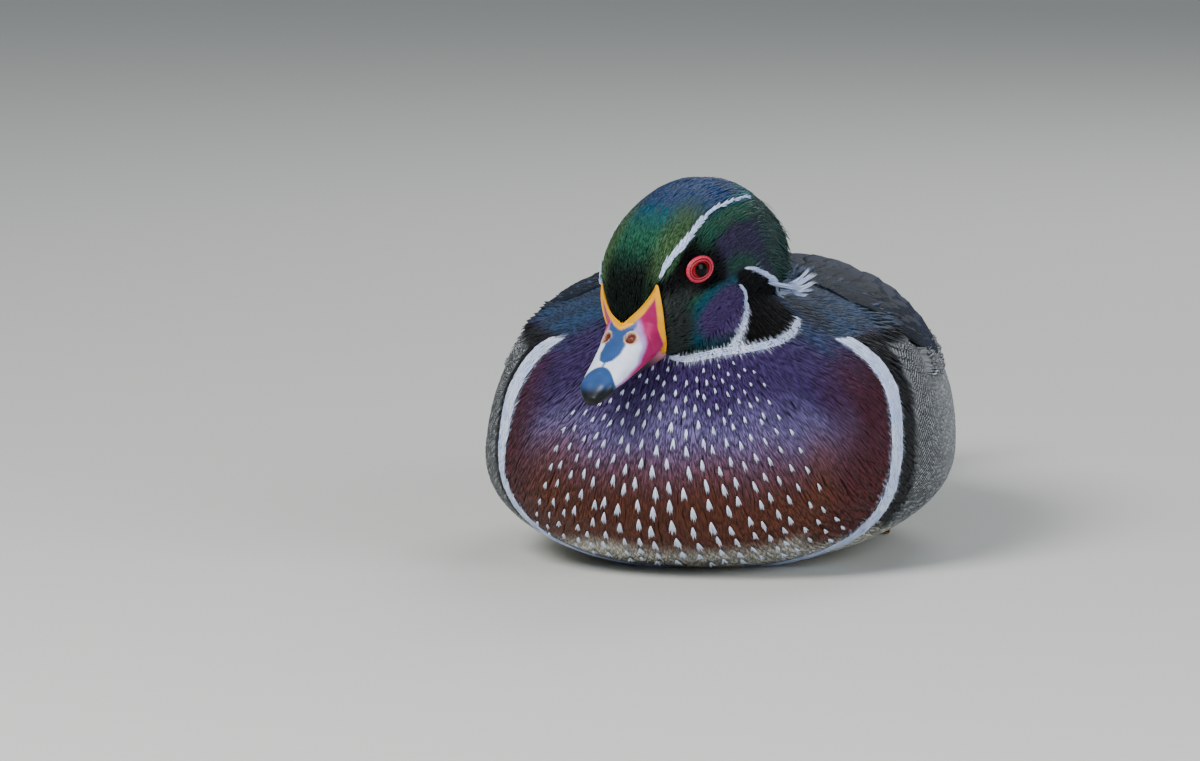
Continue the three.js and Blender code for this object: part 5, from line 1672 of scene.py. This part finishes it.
class DUCK_OT_head(bpy.types.Operator):
    """Makes the fine head feathers"""

    bl_idname = "duck.head"
    bl_label = "Head feathers"
    bl_options = {"REGISTER", "UNDO"}

    def execute(self, context):
        head_feathers()
        return {"FINISHED"}


class DUCK_OT_crest(bpy.types.Operator):
    """Makes the crest and nape"""

    bl_idname = "duck.crest"
    bl_label = "Crest"
    bl_options = {"REGISTER", "UNDO"}

    def execute(self, context):
        crest_feathers()
        return {"FINISHED"}


class DUCK_OT_lines(bpy.types.Operator):
    """Makes the white lines of the head"""

    bl_idname = "duck.lines"
    bl_label = "Head lines"
    bl_options = {"REGISTER", "UNDO"}

    def execute(self, context):
        head_lines()
        return {"FINISHED"}


class DUCK_OT_body(bpy.types.Operator):
    """Makes the body's feathers"""

    bl_idname = "duck.body"
    bl_label = "Body feathers"
    bl_options = {"REGISTER", "UNDO"}

    def execute(self, context):
        body_feathers()
        return {"FINISHED"}


class DUCK_OT_bars(bpy.types.Operator):
    """Makes the white bars before the wings"""

    bl_idname = "duck.bars"
    bl_label = "Side bars"
    bl_options = {"REGISTER", "UNDO"}

    def execute(self, context):
        side_bars()
        return {"FINISHED"}


class DUCK_OT_flecks(bpy.types.Operator):
    """Makes the white flecks of the breast"""

    bl_idname = "duck.flecks"
    bl_label = "Breast flecks"
    bl_options = {"REGISTER", "UNDO"}

    def execute(self, context):
        breast_flecks()
        return {"FINISHED"}


class DUCK_OT_wings(bpy.types.Operator):
    """Makes the folded wings"""

    bl_idname = "duck.wings"
    bl_label = "Wings"
    bl_options = {"REGISTER", "UNDO"}

    def execute(self, context):
        wing_feathers()
        return {"FINISHED"}


class DUCK_OT_tips(bpy.types.Operator):
    """Makes the barred tips of the flank"""

    bl_idname = "duck.tips"
    bl_label = "Flank tips"
    bl_options = {"REGISTER", "UNDO"}

    def execute(self, context):
        flank_tips()
        return {"FINISHED"}


class DUCK_OT_tail(bpy.types.Operator):
    """Makes the tail"""

    bl_idname = "duck.tail"
    bl_label = "Tail"
    bl_options = {"REGISTER", "UNDO"}

    def execute(self, context):
        tail_feathers()
        return {"FINISHED"}


class DUCK_OT_bill(bpy.types.Operator):
    """Makes the bill and its lobes"""

    bl_idname = "duck.bill"
    bl_label = "Bill"
    bl_options = {"REGISTER", "UNDO"}

    def execute(self, context):
        bill_forms()
        return {"FINISHED"}


class DUCK_OT_eyes(bpy.types.Operator):
    """Makes the eyes and lids"""

    bl_idname = "duck.eyes"
    bl_label = "Eyes"
    bl_options = {"REGISTER", "UNDO"}

    def execute(self, context):
        eye_parts()
        return {"FINISHED"}


class DUCK_OT_legs(bpy.types.Operator):
    """Makes the legs, webs and claws"""

    bl_idname = "duck.legs"
    bl_label = "Legs and feet"
    bl_options = {"REGISTER", "UNDO"}

    def execute(self, context):
        leg_parts()
        return {"FINISHED"}


class DUCK_OT_stage(bpy.types.Operator):
    """Makes the floor, lights and camera"""

    bl_idname = "duck.stage"
    bl_label = "Stage"
    bl_options = {"REGISTER", "UNDO"}

    def execute(self, context):
        make_stage()
        return {"FINISHED"}


STEPS = (DUCK_OT_materials, DUCK_OT_skin, DUCK_OT_head, DUCK_OT_crest, DUCK_OT_lines, DUCK_OT_body, DUCK_OT_bars,
         DUCK_OT_flecks, DUCK_OT_wings, DUCK_OT_tips, DUCK_OT_tail, DUCK_OT_bill, DUCK_OT_eyes, DUCK_OT_legs,
         DUCK_OT_stage)


class DUCK_PT_panel(bpy.types.Panel):
    """Lists the duck's sizes, colours and pieces in the sidebar."""

    bl_label = "Wood duck"
    bl_idname = "DUCK_PT_panel"
    bl_space_type = "VIEW_3D"
    bl_region_type = "UI"
    bl_category = "Duck"

    def draw(self, context):
        for name in DuckSizes.__annotations__:
            self.layout.prop(sizes(), name)
        for step in STEPS:
            self.layout.operator(step.bl_idname)


CLASSES = (DuckSizes, *STEPS, DUCK_PT_panel)


def register():
    """Makes the classes and the scene's sizes known."""
    for cls in CLASSES:
        bpy.utils.register_class(cls)
    bpy.types.Scene.duck_sizes = bpy.props.PointerProperty(type=DuckSizes)


def unregister():
    """Takes them back."""
    del bpy.types.Scene.duck_sizes
    for cls in reversed(CLASSES):
        bpy.utils.unregister_class(cls)


def main():
    """Registers the add-on and builds every piece in order."""
    register()
    for step in STEPS:
        getattr(bpy.ops.duck, step.bl_idname.split(".")[1])()


if __name__ == "__main__":
    main()
